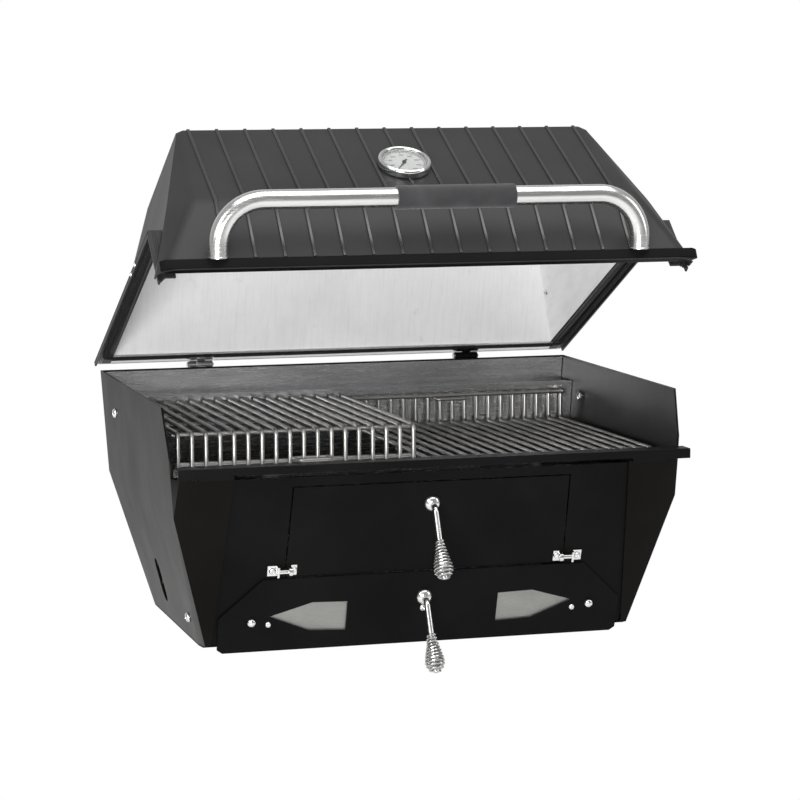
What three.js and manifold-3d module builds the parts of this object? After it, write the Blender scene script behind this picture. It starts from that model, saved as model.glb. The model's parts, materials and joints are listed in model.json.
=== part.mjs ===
// Charcoal charbroiler grill head: a tapered sheet-metal firebox with a hinged lid, two step-shaped
// cooking grids, a drop-down charcoal door and an ash drawer with two dampers.
// Millimetres. X to the right, Y to the back, Z up. Origin at the centre of the base's underside.
// Everything on the lid is drawn with the lid closed, in a group that is turned about the hinge pin.

import * as THREE from "three";
import { ConvexGeometry } from "three/addons/geometries/ConvexGeometry.js";
import { mergeVertices } from "three/addons/utils/BufferGeometryUtils.js";
import Module from "manifold-3d";

const wasm = await Module();
wasm.setup();

// ---------------------------------------------------------------- driving dimensions
const GAP = 0.4; // air between neighbouring pieces
const SHEET = 2.5; // body panels
const THIN = 1.5; // liners, ledges and pans

// Firebox: half widths and depths at its four levels.
const KNEE_Z = 180; // where the walls turn from sloping to upright
const RAIL_Z = 246; // top of the front rail
const TOP_Z = 324; // top of the back edge
const SIDE_FRONT_TOP_Z = 319; // top of the side panels at the front
const BOTTOM_HALF = 292;
const KNEE_HALF = 338;
const WALL_TAPER = 0.07; // the upright walls still lean out a little
const BACK_Y = 241.5;
const BACK_BOTTOM_Y = 147.5;
const WING_SLOPE = 0.328; // the front leans back towards the bottom
const PANEL_Y = -240.9; // centre front panel at DOOR_TOP_Z
const WING_Y = -243.9; // side panels' front wings at DOOR_TOP_Z, a little proud
const RAIL_FRONT_Y = -259;
const RAIL_ENDS = { left: -338, right: 346 };
const RAIL_BOTTOM_Z = 236;

// Charcoal door and ash drawer front.
const DOOR_TOP_Z = 215;
const DOOR_BOTTOM_Z = 93.7;
const DOOR_TOP_HALF = 185;
const DOOR_BOTTOM_HALF = 188.5;
const DOOR_PLAY = 1.5; // gap round the door
const DOOR_AXIS_Z = 102.1;
const DOOR_AXIS_Y = -210.2;
const ASH_PROUD = 2.9;
const ASH_TOP_Z = 91.5;
const ASH_CORNER_Z = 40;
const ASH_BOTTOM_Z = -8;
const ASH_TOP_HALF = 218;
const ASH_HALF = 274;
const DOOR_BOSS_Z = 186;
const ASH_BOSS_Z = 57;
const DAMPER_PIVOT = { x: 207.7, z: 30.6 };
const DAMPER_KNOB = { x: 230.5, z: 35.5 };
const DAMPER_TURNS = [0, 3, 6, 9, 12]; // degrees, the holes that make the knob's curved slot

// Cooking grids.
const RODS = 18;
const ROD_R = 3;
const ROD_FIRST_X = 8.3;
const ROD_PITCH = 18.43;
const GRID_LOW_Z = 237.4;
const GRID_HIGH_Z = 281;
const GRID_FRONT_Y = -176.5;
const GRID_BACK_Y = 180.6;

// Lid, closed.
const HINGE_Y = 255.1;
const HINGE_Z = 326;
const LID_OPEN_DEG = 27.2;
const LID_SHEET = 2;
const RIDGE = { half: 284.5, z: 503.5, frontY: -140.5, backY: 101.5 };
const FRONT_BEND = { half: 300, y: -247.5, z: 351 };
const SIDE_BEND = { half: 326, y: -215.5, z: 358 };
const LIP = { half: 340, y: -267, z: 260 };
const LIP_BAND = { left: 354.5, right: 361, low: 247, high: 261, frontY: -270.5, backY: -256 };
const RIM_HALF = 353.5; // outer edge of the rim flange
const RIM_BACK = { y: 256.2, z: 333 };
const RIM_TURN = { y: -211.5, z: 323.5 }; // where the rim turns down towards the front
const RIM_FRONT = { y: -244, z: 241 };
const LID_TAPER = 0.286; // side walls lean in
const RIB_PITCH = 38.5;
const RIBS_EACH_SIDE = 7;
const RIB_RISE = 1.6;
const RIB_HALF = 2.2;

// Lid handle and thermometer.
const TUBE_R = 12.7;
const TUBE_BEND = 58;
const HANDLE_HALF = 280;
const HANDLE_END = { y: -271, z: 262.5 };
const HANDLE_BAR = { y: -307, z: 323 };
const GRIP = { from: -50, to: 107, r: 15.6 };
const GAUGE = { y: -201, z: 417, r: 35.5 };
const POINTER_DEG = 145; // to the left of straight up, the low end of the scale

// ---------------------------------------------------------------- solids
const V = (x, y, z) => new THREE.Vector3(x, y, z);

// A closed three.js geometry as a manifold-3d solid.
function solid(geometry) {
  const loose = geometry.index ? geometry.toNonIndexed() : geometry.clone();
  loose.deleteAttribute("normal");
  loose.deleteAttribute("uv");
  const merged = mergeVertices(loose, 1e-4);
  return new wasm.Manifold(
    new wasm.Mesh({
      numProp: 3,
      vertProperties: merged.attributes.position.array,
      triVerts: new Uint32Array(merged.index.array),
    }),
  );
}

// A manifold-3d solid as a flat-shaded three.js geometry.
function geometryOf(piece) {
  const mesh = piece.getMesh();
  const geometry = new THREE.BufferGeometry();
  geometry.setAttribute("position", new THREE.BufferAttribute(mesh.vertProperties, mesh.numProp));
  geometry.setIndex(new THREE.BufferAttribute(mesh.triVerts, 1));
  const flat = geometry.toNonIndexed();
  flat.computeVertexNormals();
  return flat;
}

function union(...pieces) {
  return pieces.flat().reduce((sum, piece) => sum.add(piece));
}

function block(x0, x1, y0, y1, z0, z1) {
  const box = new THREE.BoxGeometry(x1 - x0, y1 - y0, z1 - z0);
  return solid(box.translate((x0 + x1) / 2, (y0 + y1) / 2, (z0 + z1) / 2));
}

function shapeOf(points) {
  return new THREE.Shape(points.map(([a, b]) => new THREE.Vector2(a, b)));
}

function extruded(shape, depth) {
  return new THREE.ExtrudeGeometry(shape, { depth, bevelEnabled: false, curveSegments: 6 });
}

// An outline in Y and Z, run along X.
function prismX(points, x0, x1) {
  const turn = new THREE.Matrix4().makeBasis(V(0, 1, 0), V(0, 0, 1), V(1, 0, 0));
  return solid(extruded(shapeOf(points), x1 - x0).applyMatrix4(turn).translate(x0, 0, 0));
}

// An outline in X and Z, run along Y.
function prismY(points, y0, y1) {
  const turn = new THREE.Matrix4().makeBasis(V(1, 0, 0), V(0, 0, 1), V(0, -1, 0));
  return solid(extruded(shapeOf(points), y1 - y0).applyMatrix4(turn).translate(0, y1, 0));
}

// A turned piece: [radius, height] pairs about the line from a point along a direction.
function turned(profile, at, along, sides = 16) {
  const lathe = new THREE.LatheGeometry(
    profile.map(([r, h]) => new THREE.Vector2(r, h)),
    sides,
  );
  const turn = new THREE.Quaternion().setFromUnitVectors(V(0, 1, 0), along.clone().normalize());
  return solid(lathe.applyQuaternion(turn).translate(at.x, at.y, at.z));
}

function pin(radius, at, along, from, to, sides = 16) {
  return turned([[0, from], [radius, from], [radius, to], [0, to]], at, along, sides);
}

// A curve through a list of points, straight between them.
class PointPath extends THREE.Curve {
  constructor(points) {
    super();
    this.points = points;
  }
  getPoint(t) {
    const last = this.points.length - 1;
    const i = Math.min(Math.floor(t * last + 1e-9), last - 1);
    return this.points[i].clone().lerp(this.points[i + 1], t * last - i);
  }
  getPointAt(t) {
    return this.getPoint(t);
  }
  getTangentAt(t) {
    const last = this.points.length - 1;
    const i = Math.round(t * last);
    const before = this.points[Math.max(i - 1, 0)];
    const after = this.points[Math.min(i + 1, last)];
    return after.clone().sub(before).normalize();
  }
}

// The corners of a path, each rounded by an arc of a few steps.
function rounded(corners, radius, steps) {
  const points = [corners[0]];
  for (let i = 1; i < corners.length - 1; i += 1) {
    const corner = corners[i];
    const into = corners[i - 1].clone().sub(corner).normalize();
    const out = corners[i + 1].clone().sub(corner).normalize();
    const half = into.angleTo(out) / 2;
    const centre = into.clone().add(out).normalize().multiplyScalar(radius / Math.sin(half)).add(corner);
    const from = into.clone().multiplyScalar(radius / Math.tan(half)).add(corner).sub(centre);
    const axis = from.clone().cross(corner.clone().sub(centre)).normalize();
    const sweep = Math.PI - 2 * half;
    for (let k = 0; k <= steps; k += 1) {
      points.push(from.clone().applyAxisAngle(axis, (sweep * k) / steps).add(centre));
    }
  }
  points.push(corners.at(-1));
  return points;
}

// A round bar along a list of points.
function bar(points, radius, sides) {
  const section = [];
  for (let i = 0; i < sides; i += 1) {
    const angle = (2 * Math.PI * (i + 0.5)) / sides;
    section.push([radius * Math.cos(angle), radius * Math.sin(angle)]);
  }
  const options = { steps: points.length - 1, extrudePath: new PointPath(points) };
  return solid(new THREE.ExtrudeGeometry(shapeOf(section), options));
}

// ---------------------------------------------------------------- materials and nodes
const FINISH = {
  black: { color: 0x26262a, roughness: 0.55, metalness: 0.2 },
  lidBlack: { color: 0x38383c, roughness: 0.5, metalness: 0.2 },
  steel: { color: 0xb9b9b6, roughness: 0.35, metalness: 0.9 },
  bright: { color: 0xd6d6d4, roughness: 0.18, metalness: 1.0 },
  liner: { color: 0xcfcfcd, roughness: 0.4, metalness: 0.8 },
  iron: { color: 0x4a4a48, roughness: 0.7, metalness: 0.5 },
  rubber: { color: 0x2e2e30, roughness: 0.9, metalness: 0 },
  seal: { color: 0x1c1c1c, roughness: 0.95, metalness: 0 },
  dial: { color: 0xf2f2ee, roughness: 0.6, metalness: 0 },
  needle: { color: 0x161616, roughness: 0.5, metalness: 0.1 },
};

const grill = new THREE.Group();
const lid = new THREE.Group();
lid.position.set(0, HINGE_Y, HINGE_Z);
lid.rotation.x = THREE.MathUtils.degToRad(-LID_OPEN_DEG);
grill.add(lid);

function add(name, piece, finish) {
  const mesh = new THREE.Mesh(geometryOf(piece), new THREE.MeshStandardMaterial(FINISH[finish]));
  mesh.name = name;
  grill.add(mesh);
}

// A piece of the lid, drawn closed: it is moved so that the hinge pin is the group's own origin.
function addToLid(name, piece, finish) {
  const geometry = geometryOf(piece).translate(0, -HINGE_Y, -HINGE_Z);
  const mesh = new THREE.Mesh(geometry, new THREE.MeshStandardMaterial(FINISH[finish]));
  mesh.name = name;
  lid.add(mesh);
}

const SIDES = [
  ["left", -1],
  ["right", 1],
];
const FAR = 900; // past every face of the object
const mirrored = (points, side) => points.map(([x, z]) => [side * x, z]);
const ordered = (a, b) => [Math.min(a, b), Math.max(a, b)];

// ---------------------------------------------------------------- firebox
const mix = (a, b, t) => a + (b - a) * t;
const frontY = (z, base) => base + WING_SLOPE * (DOOR_TOP_Z - z);
const bodyHalf = (z) =>
  z < KNEE_Z ? mix(BOTTOM_HALF, KNEE_HALF, z / KNEE_Z) : KNEE_HALF + WALL_TAPER * (z - KNEE_Z);
const bodyBackY = (z) => mix(BACK_BOTTOM_Y, BACK_Y, Math.min(z / KNEE_Z, 1));
const cornerHalf = (z) => 288 + 0.116 * z; // where the front wing turns into the corner facet
const cornerSideY = (z) => mix(-147.5, -225.5, z / KNEE_Z); // where the facet meets the side

// The firebox's outline at one level, moved inwards by an inset.
function outlineAt(z, inset) {
  const half = bodyHalf(z) - inset;
  const front = frontY(z, WING_Y) + inset;
  const corner = cornerHalf(z) - inset / 2;
  const right = [
    [corner, front],
    [half, cornerSideY(Math.min(z, KNEE_Z)) + inset / 2],
    [half, bodyBackY(z) - inset],
  ];
  const all = [...right, ...right.map(([x, y]) => [-x, y])];
  return all.map(([x, y]) => V(x, y, z));
}

function trough(inset, bottom, top) {
  const lower = solid(new ConvexGeometry([...outlineAt(bottom, inset), ...outlineAt(KNEE_Z, inset)]));
  const upper = solid(new ConvexGeometry([...outlineAt(KNEE_Z, inset), ...outlineAt(top, inset)]));
  return lower.add(upper);
}

const wallTop = 330;
const hollow = trough(SHEET, -5, wallTop + 10);
const walls = trough(0, 0, wallTop).subtract(hollow);
const WING_EDGE = [
  [264, RAIL_Z + 100],
  [264, 231],
  [281, 0],
  [281, -50],
]; // inner edge of the wings that the side panels turn round the front and back

// Above the rail the front is open: the side panels end on a sloping edge.
const openFront = prismX(
  [
    [-FAR, 231],
    [-227, 231],
    [-230.5, RAIL_Z],
    [-202, SIDE_FRONT_TOP_Z],
    [BACK_Y + 60, TOP_Z + 0.7],
    [BACK_Y + 60, FAR],
    [-FAR, FAR],
  ],
  -FAR,
  FAR,
);
const SLOT = { y: 25, low: 28, high: 88, half: 14 };
function sideSlot(side) {
  const shape = new THREE.Shape();
  shape.absarc(SLOT.y, SLOT.high - SLOT.half, SLOT.half, 0, Math.PI);
  shape.absarc(SLOT.y, SLOT.low + SLOT.half, SLOT.half, Math.PI, 2 * Math.PI);
  const turn = new THREE.Matrix4().makeBasis(V(0, 1, 0), V(0, 0, 1), V(1, 0, 0));
  const x0 = side > 0 ? 250 : -350;
  return solid(extruded(shape, 100).applyMatrix4(turn).translate(x0, 0, 0));
}
// The bolts that hold each side panel: name, Y and Z.
const SIDE_BOLTS = [
  ["upper", 142.8, 273.8],
  ["lower", -130, 35.5],
];
// The outward direction of a side wall at a height.
const sideOut = (side, z) =>
  z < KNEE_Z ? V(side * KNEE_Z, 0, BOTTOM_HALF - KNEE_HALF) : V(side, 0, -WALL_TAPER);

for (const [word, side] of SIDES) {
  const outer = mirrored([...WING_EDGE, [FAR, -50], [FAR, RAIL_Z + 100]], side);
  let panel = walls.intersect(prismY(outer, -FAR, FAR)).subtract(openFront);
  panel = panel.subtract(block(-FAR, FAR, -FAR, FAR, -FAR, SHEET + GAP)).subtract(sideSlot(side));
  for (const [place, y, z] of SIDE_BOLTS) {
    const at = V(side * bodyHalf(z), y, z);
    const out = sideOut(side, z).normalize();
    panel = panel.subtract(pin(3.4, at, out, -8, 8, 12));
    const bolt = [[0, -9], [3, -9], [3, GAP], [6.5, GAP], [5.6, 2.6], [3, 3.9], [0, 4.2]];
    add(`side_bolt_${word}_${place}`, turned(bolt, at, out, 12), "steel");
  }
  add(`${word}_side_panel`, panel, "black");
}

// Centre front panel: behind the wings, with an opening for the door and one for the ash drawer.
function frontSheet(base, thickness, outline) {
  const low = ASH_BOTTOM_Z - 20;
  const high = RAIL_Z;
  const section = [
    [frontY(low, base), low],
    [frontY(low, base) + thickness, low],
    [frontY(high, base) + thickness, high],
    [frontY(high, base), high],
  ];
  return prismX(section, -FAR, FAR).intersect(prismY(outline, -FAR, FAR));
}
const symmetric = (right) => [...right, ...right.map(([x, z]) => [-x, z]).reverse()];
const doorOutline = (play) =>
  symmetric([
    [DOOR_BOTTOM_HALF + play, DOOR_BOTTOM_Z - play],
    [DOOR_TOP_HALF + play, DOOR_TOP_Z + play],
  ]);
const FRONT_BOTTOM_Z = 5;
const FRONT_TOP_Z = 229;
const ASH_OPENING = symmetric([
  [250, -50],
  [250, 46],
  [212, 86],
]);
const frontEdge = symmetric([
  [279, FRONT_BOTTOM_Z],
  [303, FRONT_TOP_Z],
]);
let frontPanel = frontSheet(PANEL_Y, 2, frontEdge);
frontPanel = frontPanel.subtract(prismY(doorOutline(DOOR_PLAY), -FAR, FAR));
frontPanel = frontPanel.subtract(prismY(ASH_OPENING, -FAR, FAR));
add("front_panel", frontPanel, "black");

// Back panel, between the side panels' wings.
const between = symmetric([
  [281 - GAP, -50],
  [281 - GAP, 0],
  [264 - GAP, 231],
  [264 - GAP, RAIL_Z + 100],
]);
let backPanel = walls.intersect(prismY(between, 0, FAR));
backPanel = backPanel.intersect(block(-FAR, FAR, 0, FAR, SHEET + GAP, TOP_Z));
add("back_panel", backPanel, "black");

// Bottom pan: the base plate with upturned flanges inside the sides and back.
const PAN_FLANGE_Z = 18;
const baseFrontY = -164;
const plate = trough(0, 0, wallTop).intersect(block(-FAR, FAR, baseFrontY, FAR, -1, SHEET));
const flange = trough(SHEET + GAP, -5, wallTop).subtract(trough(SHEET + GAP + THIN, -6, wallTop + 5));
const flangeZone = block(-FAR, FAR, -110, FAR, SHEET - 0.5, PAN_FLANGE_Z);
let bottomPan = plate.add(flange.intersect(flangeZone));
for (const [, side] of SIDES) {
  const lower = SIDE_BOLTS[1];
  const at = V(side * bodyHalf(lower[2]), lower[1], lower[2]);
  bottomPan = bottomPan.subtract(pin(6, at, sideOut(side, lower[2]).normalize(), -14, 2, 12));
}
add("bottom_pan", bottomPan, "black");

// Front rail: an angle along the top of the front, deeper at its ends.
const RAIL_BACK_Y = -231.5;
const RAIL_STEP = { inner: 267, outer: 311, z: 230.5, thick: 6 };
const RAIL_END_Z = 233;
const railFace = [
  [RAIL_FRONT_Y, RAIL_Z],
  [RAIL_FRONT_Y, RAIL_BOTTOM_Z],
  [RAIL_FRONT_Y + SHEET, RAIL_BOTTOM_Z],
  [RAIL_FRONT_Y + SHEET, RAIL_Z - SHEET],
  [RAIL_BACK_Y, RAIL_Z - SHEET],
  [RAIL_BACK_Y, RAIL_Z],
];
const railTop = RAIL_Z - 1;
const railEnds = SIDES.flatMap(([word, side]) => {
  const [step, end] = [side * RAIL_STEP.outer, RAIL_ENDS[word]];
  const inner = side * RAIL_STEP.inner;
  return [
    block(...ordered(step, end), RAIL_FRONT_Y, RAIL_FRONT_Y + SHEET, RAIL_END_Z, railTop),
    block(...ordered(inner, step), RAIL_FRONT_Y, RAIL_FRONT_Y + RAIL_STEP.thick, RAIL_STEP.z, railTop),
  ];
});
const railBar = prismX(railFace, RAIL_ENDS.left, RAIL_ENDS.right);
add("front_rail", union(railBar, railEnds), "black");

// Inside: stepped stainless back liner, grid ledges and grate ledges.
const within = trough(SHEET + GAP, -5, wallTop);
const LINER_Y = 188.5;
const SHELF_Z = 290;
const linerFace = [
  [LINER_Y, 150],
  [LINER_Y + THIN, 150],
  [LINER_Y + THIN, SHELF_Z],
  [BACK_Y - SHEET - GAP, SHELF_Z],
  [BACK_Y - SHEET - GAP, 322],
  [BACK_Y - SHEET - GAP - THIN, 322],
  [BACK_Y - SHEET - GAP - THIN, SHELF_Z + THIN],
  [LINER_Y, SHELF_Z + THIN],
];
add("back_liner", prismX(linerFace, -FAR, FAR).intersect(within), "steel");

// An angle: a ledge whose top is at a height, with a leg that hangs from one of its edges.
const ledge = (y0, y1, z, legY) => [
  block(-FAR, FAR, y0, y1, z - THIN, z),
  block(-FAR, FAR, legY, legY + THIN, z - 16, z - THIN / 2),
];
const ledgeTop = GRID_LOW_Z - ROD_R - 0.3;
const highLedgeTop = GRID_HIGH_Z - ROD_R - 0.3;
const leftHalf = block(-FAR, -1, -FAR, FAR, -FAR, FAR);
const rightHalf = block(1, FAR, -FAR, FAR, -FAR, FAR);
const frontLedgeY = -232;
const frontLedge = union(ledge(frontLedgeY, -168, ledgeTop, -168 - THIN));
const behindRail = block(-FAR, FAR, frontLedgeY, FAR, -FAR, FAR);
const sideClear = block(-337.6, 337.6, -FAR, FAR, 200, 260);
add("front_grid_ledge", frontLedge.intersect(behindRail).intersect(sideClear), "steel");
const linerFront = LINER_Y - GAP;
const highLedge = union(ledge(170, linerFront, highLedgeTop, linerFront - THIN));
const lowLedge = union(ledge(168, linerFront, ledgeTop, linerFront - THIN));
add("back_high_ledge", highLedge.intersect(within).intersect(leftHalf), "steel");
add("back_low_ledge", lowLedge.intersect(within).intersect(rightHalf), "steel");

const GRATE = { half: 300, frontY: -184, backY: 172, low: 98, high: 108, bars: 15, bar: 5 };
for (const [word, side] of SIDES) {
  const top = GRATE.low - GAP;
  const x0 = side > 0 ? 284 : -340;
  const rest = block(x0, x0 + 56, -150, 150, top - THIN, top);
  const leg = within.subtract(trough(SHEET + GAP + THIN, -6, wallTop + 5));
  const legZone = block(x0, x0 + 56, -150, 150, top - 22, top - THIN / 2);
  const angle = rest.intersect(within).add(leg.intersect(legZone));
  add(`grate_ledge_${word}`, angle.subtract(sideSlot(side)), "iron");
}

// Charcoal grate: upright bars on three cross bars, lifted out from above.
const grateBars = [];
for (let i = 0; i < GRATE.bars; i += 1) {
  const x = mix(-GRATE.half + GRATE.bar / 2, GRATE.half - GRATE.bar / 2, i / (GRATE.bars - 1));
  const halfBar = GRATE.bar / 2;
  grateBars.push(block(x - halfBar, x + halfBar, GRATE.frontY, GRATE.backY, GRATE.low, GRATE.high));
}
for (const y of [GRATE.frontY + 20, (GRATE.frontY + GRATE.backY) / 2, GRATE.backY - 26]) {
  grateBars.push(block(-GRATE.half + 1, GRATE.half - 1, y, y + 6, GRATE.low + 1, GRATE.high - 2));
}
add("charcoal_grate", union(grateBars), "iron");

// ---------------------------------------------------------------- cooking grids
// One grid is a row of rods, each with a leg at one end, on cross rods, with a lift handle.
// The left one is raised with its legs down at the front. The right one lies low, legs up at the back.
function cookingGrid(side, flatZ, legZ, legY, farY, crossZ, handleZ, handleOut) {
  const pieces = [];
  for (let i = 0; i < RODS; i += 1) {
    const x = side * (ROD_FIRST_X + ROD_PITCH * i);
    pieces.push(bar(rounded([V(x, farY, flatZ), V(x, legY, flatZ), V(x, legY, legZ)], 7, 2), ROD_R, 6));
  }
  const first = side * (ROD_FIRST_X - ROD_R);
  const last = side * (ROD_FIRST_X + ROD_PITCH * (RODS - 1) + ROD_R);
  const inward = Math.sign(farY - legY);
  const legCross = legZ + 3.5 * Math.sign(flatZ - legZ);
  const lines = [[-150, crossZ], [-45, crossZ], [60, crossZ], [150, crossZ]];
  lines.push([legY + inward * 4.6, legCross]);
  for (const [y, z] of lines) {
    pieces.push(bar([V(first, y, z), V(last, y, z)], ROD_R, 6));
  }
  const middle = side * (ROD_FIRST_X + ROD_PITCH * 7.5);
  const out = legY + handleOut;
  const loop = [V(middle - 21, legY, handleZ), V(middle - 21, out, handleZ)];
  loop.push(V(middle + 21, out, handleZ), V(middle + 21, legY, handleZ));
  pieces.push(bar(rounded(loop, 5, 2), 2.6, 6));
  pieces.push(bar([V(middle - 27, legY, handleZ), V(middle + 27, legY, handleZ)], 2.6, 6));
  return union(pieces);
}
const left = cookingGrid(-1, GRID_HIGH_Z, GRID_LOW_Z, GRID_FRONT_Y, GRID_BACK_Y, 276.4, 244, -24);
const right = cookingGrid(1, GRID_LOW_Z, GRID_HIGH_Z, GRID_BACK_Y, GRID_FRONT_Y, 232.8, 274, -24);
add("left_cooking_grid", left, "steel");
add("right_cooking_grid", right, "steel");

// ---------------------------------------------------------------- charcoal door and ash drawer
const OUT = V(0, -1, -WING_SLOPE).normalize(); // straight out of the front
const onFront = (x, z, base) => V(x, frontY(z, base), z);

function holeThrough(x, z, radius, sides = 12, base = PANEL_Y) {
  return pin(radius, onFront(x, z, base), OUT, -12, 12, sides);
}
let door = frontSheet(PANEL_Y, SHEET, doorOutline(0));
door = door.subtract(holeThrough(0, DOOR_BOSS_Z, 4.6));

// Door pivots: a bracket and pin on the panel, an eye on the door.
const axisAt = (x) => V(x, DOOR_AXIS_Y, DOOR_AXIS_Z);
const along = V(1, 0, 0);
function standOff(x0, x1, from, to) {
  const section = [[-7, from], [7, from], [7, to], [-7, to]].map(([up, out]) => {
    const foot = onFront(0, DOOR_AXIS_Z + 2 + up, PANEL_Y);
    return [foot.y + OUT.y * out, foot.z + OUT.z * out];
  });
  return prismX(section, ...ordered(x0, x1));
}
for (const [word, side] of SIDES) {
  const bracket = union(
    standOff(side * 198, side * 201, GAP, 9),
    standOff(side * 198, side * 213, GAP, 2.4),
    pin(3, axisAt(0), along, ...ordered(side * 180, side * 200), 12),
    pin(4.2, onFront(side * 207, DOOR_AXIS_Z + 2, PANEL_Y), OUT, 0.6, 5, 8),
  );
  add(`door_bracket_${word}`, bracket, "bright");
  const eye = union(
    pin(6, axisAt(0), along, ...ordered(side * 181, side * 186), 12),
    standOff(side * 181, side * 186, GAP, 3),
    pin(3.6, onFront(side * 178, DOOR_AXIS_Z + 3, PANEL_Y), OUT, 0.6, 4.4, 8),
    standOff(side * 174, side * 182, GAP, 2.2),
  ).subtract(pin(3.5, axisAt(0), along, side * 183.5 - 12, side * 183.5 + 12, 12));
  const skin = pin(FAR, onFront(0, DOOR_AXIS_Z, PANEL_Y), OUT, GAP, FAR, 4);
  add(`door_pivot_${word}`, eye.intersect(skin), "bright");
}
add("charcoal_door", door, "black");

// A pull with a coil-spring grip: domed boss, bent rod, pear-shaped coil and a small cam inside.
const HANG = V(0, -0.43, -0.903).normalize();
const STUB = 16;
const ROD_LENGTH = 96;
const SPRING_LENGTH = 52;
const CAM_REACH = 20; // up the inside of the panel
function springPull(name, z, base) {
  const at = onFront(0, z, base);
  const boss = [[4.7, GAP], [11, GAP], [11, 3], [9.4, 6], [6.6, 8.2], [4.7, 9]];
  boss.push(boss[0]);
  add(`${name}_boss`, turned(boss, at, OUT, 16), "bright");
  const inner = at.clone().addScaledVector(OUT, -9);
  const elbow = at.clone().addScaledVector(OUT, STUB);
  const tip = elbow.clone().addScaledVector(HANG, ROD_LENGTH);
  add(`${name}_rod`, bar(rounded([inner, elbow, tip], 14, 4), 4, 8), "bright");
  const start = elbow.clone().addScaledVector(HANG, ROD_LENGTH - SPRING_LENGTH - 2);
  const grip = [[4.4, 0], [5.6, 0], [7, 8]];
  for (const [r, share] of [[8.6, 0.32], [10.6, 0.48], [12.6, 0.64], [13.4, 0.76], [12, 0.88], [8, 1]]) {
    grip.push([r, share * SPRING_LENGTH]);
  }
  grip.push([4.4, SPRING_LENGTH], [4.4, 0]);
  add(`${name}_spring`, turned(grip, start, HANG, 12), "bright");
  const cam = union(
    pin(8, inner, OUT, 0.8, 3.2, 12),
    prismX(
      [[1, 0], [3.4, 0], [3.4, CAM_REACH], [1, CAM_REACH]].map(([out, up]) => {
        const foot = inner.clone().addScaledVector(OUT, out);
        return [foot.y + OUT.z * up, foot.z - OUT.y * up];
      }),
      -5,
      5,
    ),
  ).subtract(pin(4.4, inner, OUT, -9, 9, 12));
  add(`${name}_cam`, cam, "steel");
}
springPull("door_handle", DOOR_BOSS_Z, PANEL_Y);

// Ash drawer: front plate with two arrow-shaped vents, and a tray behind it.
const ASH_Y = PANEL_Y - ASH_PROUD;
const VENT = [
  [102.5, 15],
  [102.5, 55.5],
  [150, 57],
  [206.7, 40],
  [152, 17.5],
];
const ASH_EDGE = symmetric([
  [ASH_HALF - 8, ASH_BOTTOM_Z],
  [ASH_HALF - 1, ASH_BOTTOM_Z + 5],
  [ASH_HALF, ASH_CORNER_Z],
  [ASH_TOP_HALF, ASH_TOP_Z],
]);
const BLADE = [
  [97, 10],
  [97, 60],
  [152, 62],
  [212, 45],
  [239, 43],
  [239, 27],
  [212, 23],
  [154, 12],
];
let ashFront = frontSheet(ASH_Y, SHEET, ASH_EDGE).subtract(holeThrough(0, ASH_BOSS_Z, 4.6, 12, ASH_Y));
ashFront = ashFront.subtract(holeThrough(0, 42, 2.4));
for (const [word, side] of SIDES) {
  const pivot = [side * DAMPER_PIVOT.x, DAMPER_PIVOT.z];
  const knob = [side * DAMPER_KNOB.x, DAMPER_KNOB.z];
  ashFront = ashFront.subtract(prismY(mirrored(VENT, side), -FAR, FAR));
  ashFront = ashFront.subtract(holeThrough(...pivot, 2.7));
  const pivotAt = onFront(...pivot, PANEL_Y);
  const arm = onFront(...knob, PANEL_Y).sub(pivotAt);
  for (const turn of DAMPER_TURNS) {
    const knobAt = arm.clone().applyAxisAngle(OUT, -side * THREE.MathUtils.degToRad(turn)).add(pivotAt);
    ashFront = ashFront.subtract(pin(3.2, knobAt, OUT, -12, 12, 12));
  }
  let blade = frontSheet(PANEL_Y, 1.2, mirrored(BLADE, side));
  blade = blade.subtract(holeThrough(...pivot, 2.7)).subtract(holeThrough(...knob, 2.7));
  add(`${word}_damper`, blade, "steel");
  const head = ASH_PROUD + GAP;
  const knobShape = [[0, -3.4], [4.4, -3.4], [4.4, -1.7], [2.3, -1.7], [2.3, head]];
  knobShape.push([5.6, head], [5.8, head + 4], [4.4, head + 6.4], [0, head + 7]);
  add(`${word}_damper_knob`, turned(knobShape, onFront(...knob, PANEL_Y), OUT, 12), "bright");
  const boltShape = [[0, -3.8], [4, -3.8], [4, -1.7], [2.3, -1.7], [2.3, head]];
  boltShape.push([4.2, head], [3.6, head + 2.6], [0, head + 3.2]);
  add(`${word}_damper_pivot`, turned(boltShape, onFront(...pivot, PANEL_Y), OUT, 12), "bright");
}
add("ash_drawer_front", ashFront, "black");
const lockShape = [[0, -4], [2, -4], [2, ASH_PROUD + GAP], [4.6, ASH_PROUD + GAP]];
lockShape.push([4.2, ASH_PROUD + 3], [0, ASH_PROUD + 3.6]);
add("ash_lock_screw", turned(lockShape, onFront(0, 42, PANEL_Y), OUT, 12), "bright");
springPull("ash_handle", ASH_BOSS_Z, ASH_Y);

const TRAY = { half: 246, backY: 136, low: 4, high: 48, lip: 12 };
const trayOuter = block(-TRAY.half, TRAY.half, -300, TRAY.backY, TRAY.low, TRAY.high);
const trayInner = block(
  -TRAY.half + THIN, TRAY.half - THIN, -301, TRAY.backY - THIN, TRAY.low + THIN, TRAY.high + 1,
);
const behindFront = prismX(
  [
    [frontY(0, PANEL_Y) + 8, 0],
    [FAR, 0],
    [FAR, 100],
    [frontY(100, PANEL_Y) + 8, 100],
  ],
  -FAR,
  FAR,
);
const trayLip = prismX(
  [
    [frontY(TRAY.low, PANEL_Y) + 8, TRAY.low],
    [frontY(TRAY.low, PANEL_Y) + 8 + THIN, TRAY.low],
    [frontY(TRAY.lip, PANEL_Y) + 8 + THIN, TRAY.lip],
    [frontY(TRAY.lip, PANEL_Y) + 8, TRAY.lip],
  ],
  -TRAY.half + 1,
  TRAY.half - 1,
);
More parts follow.
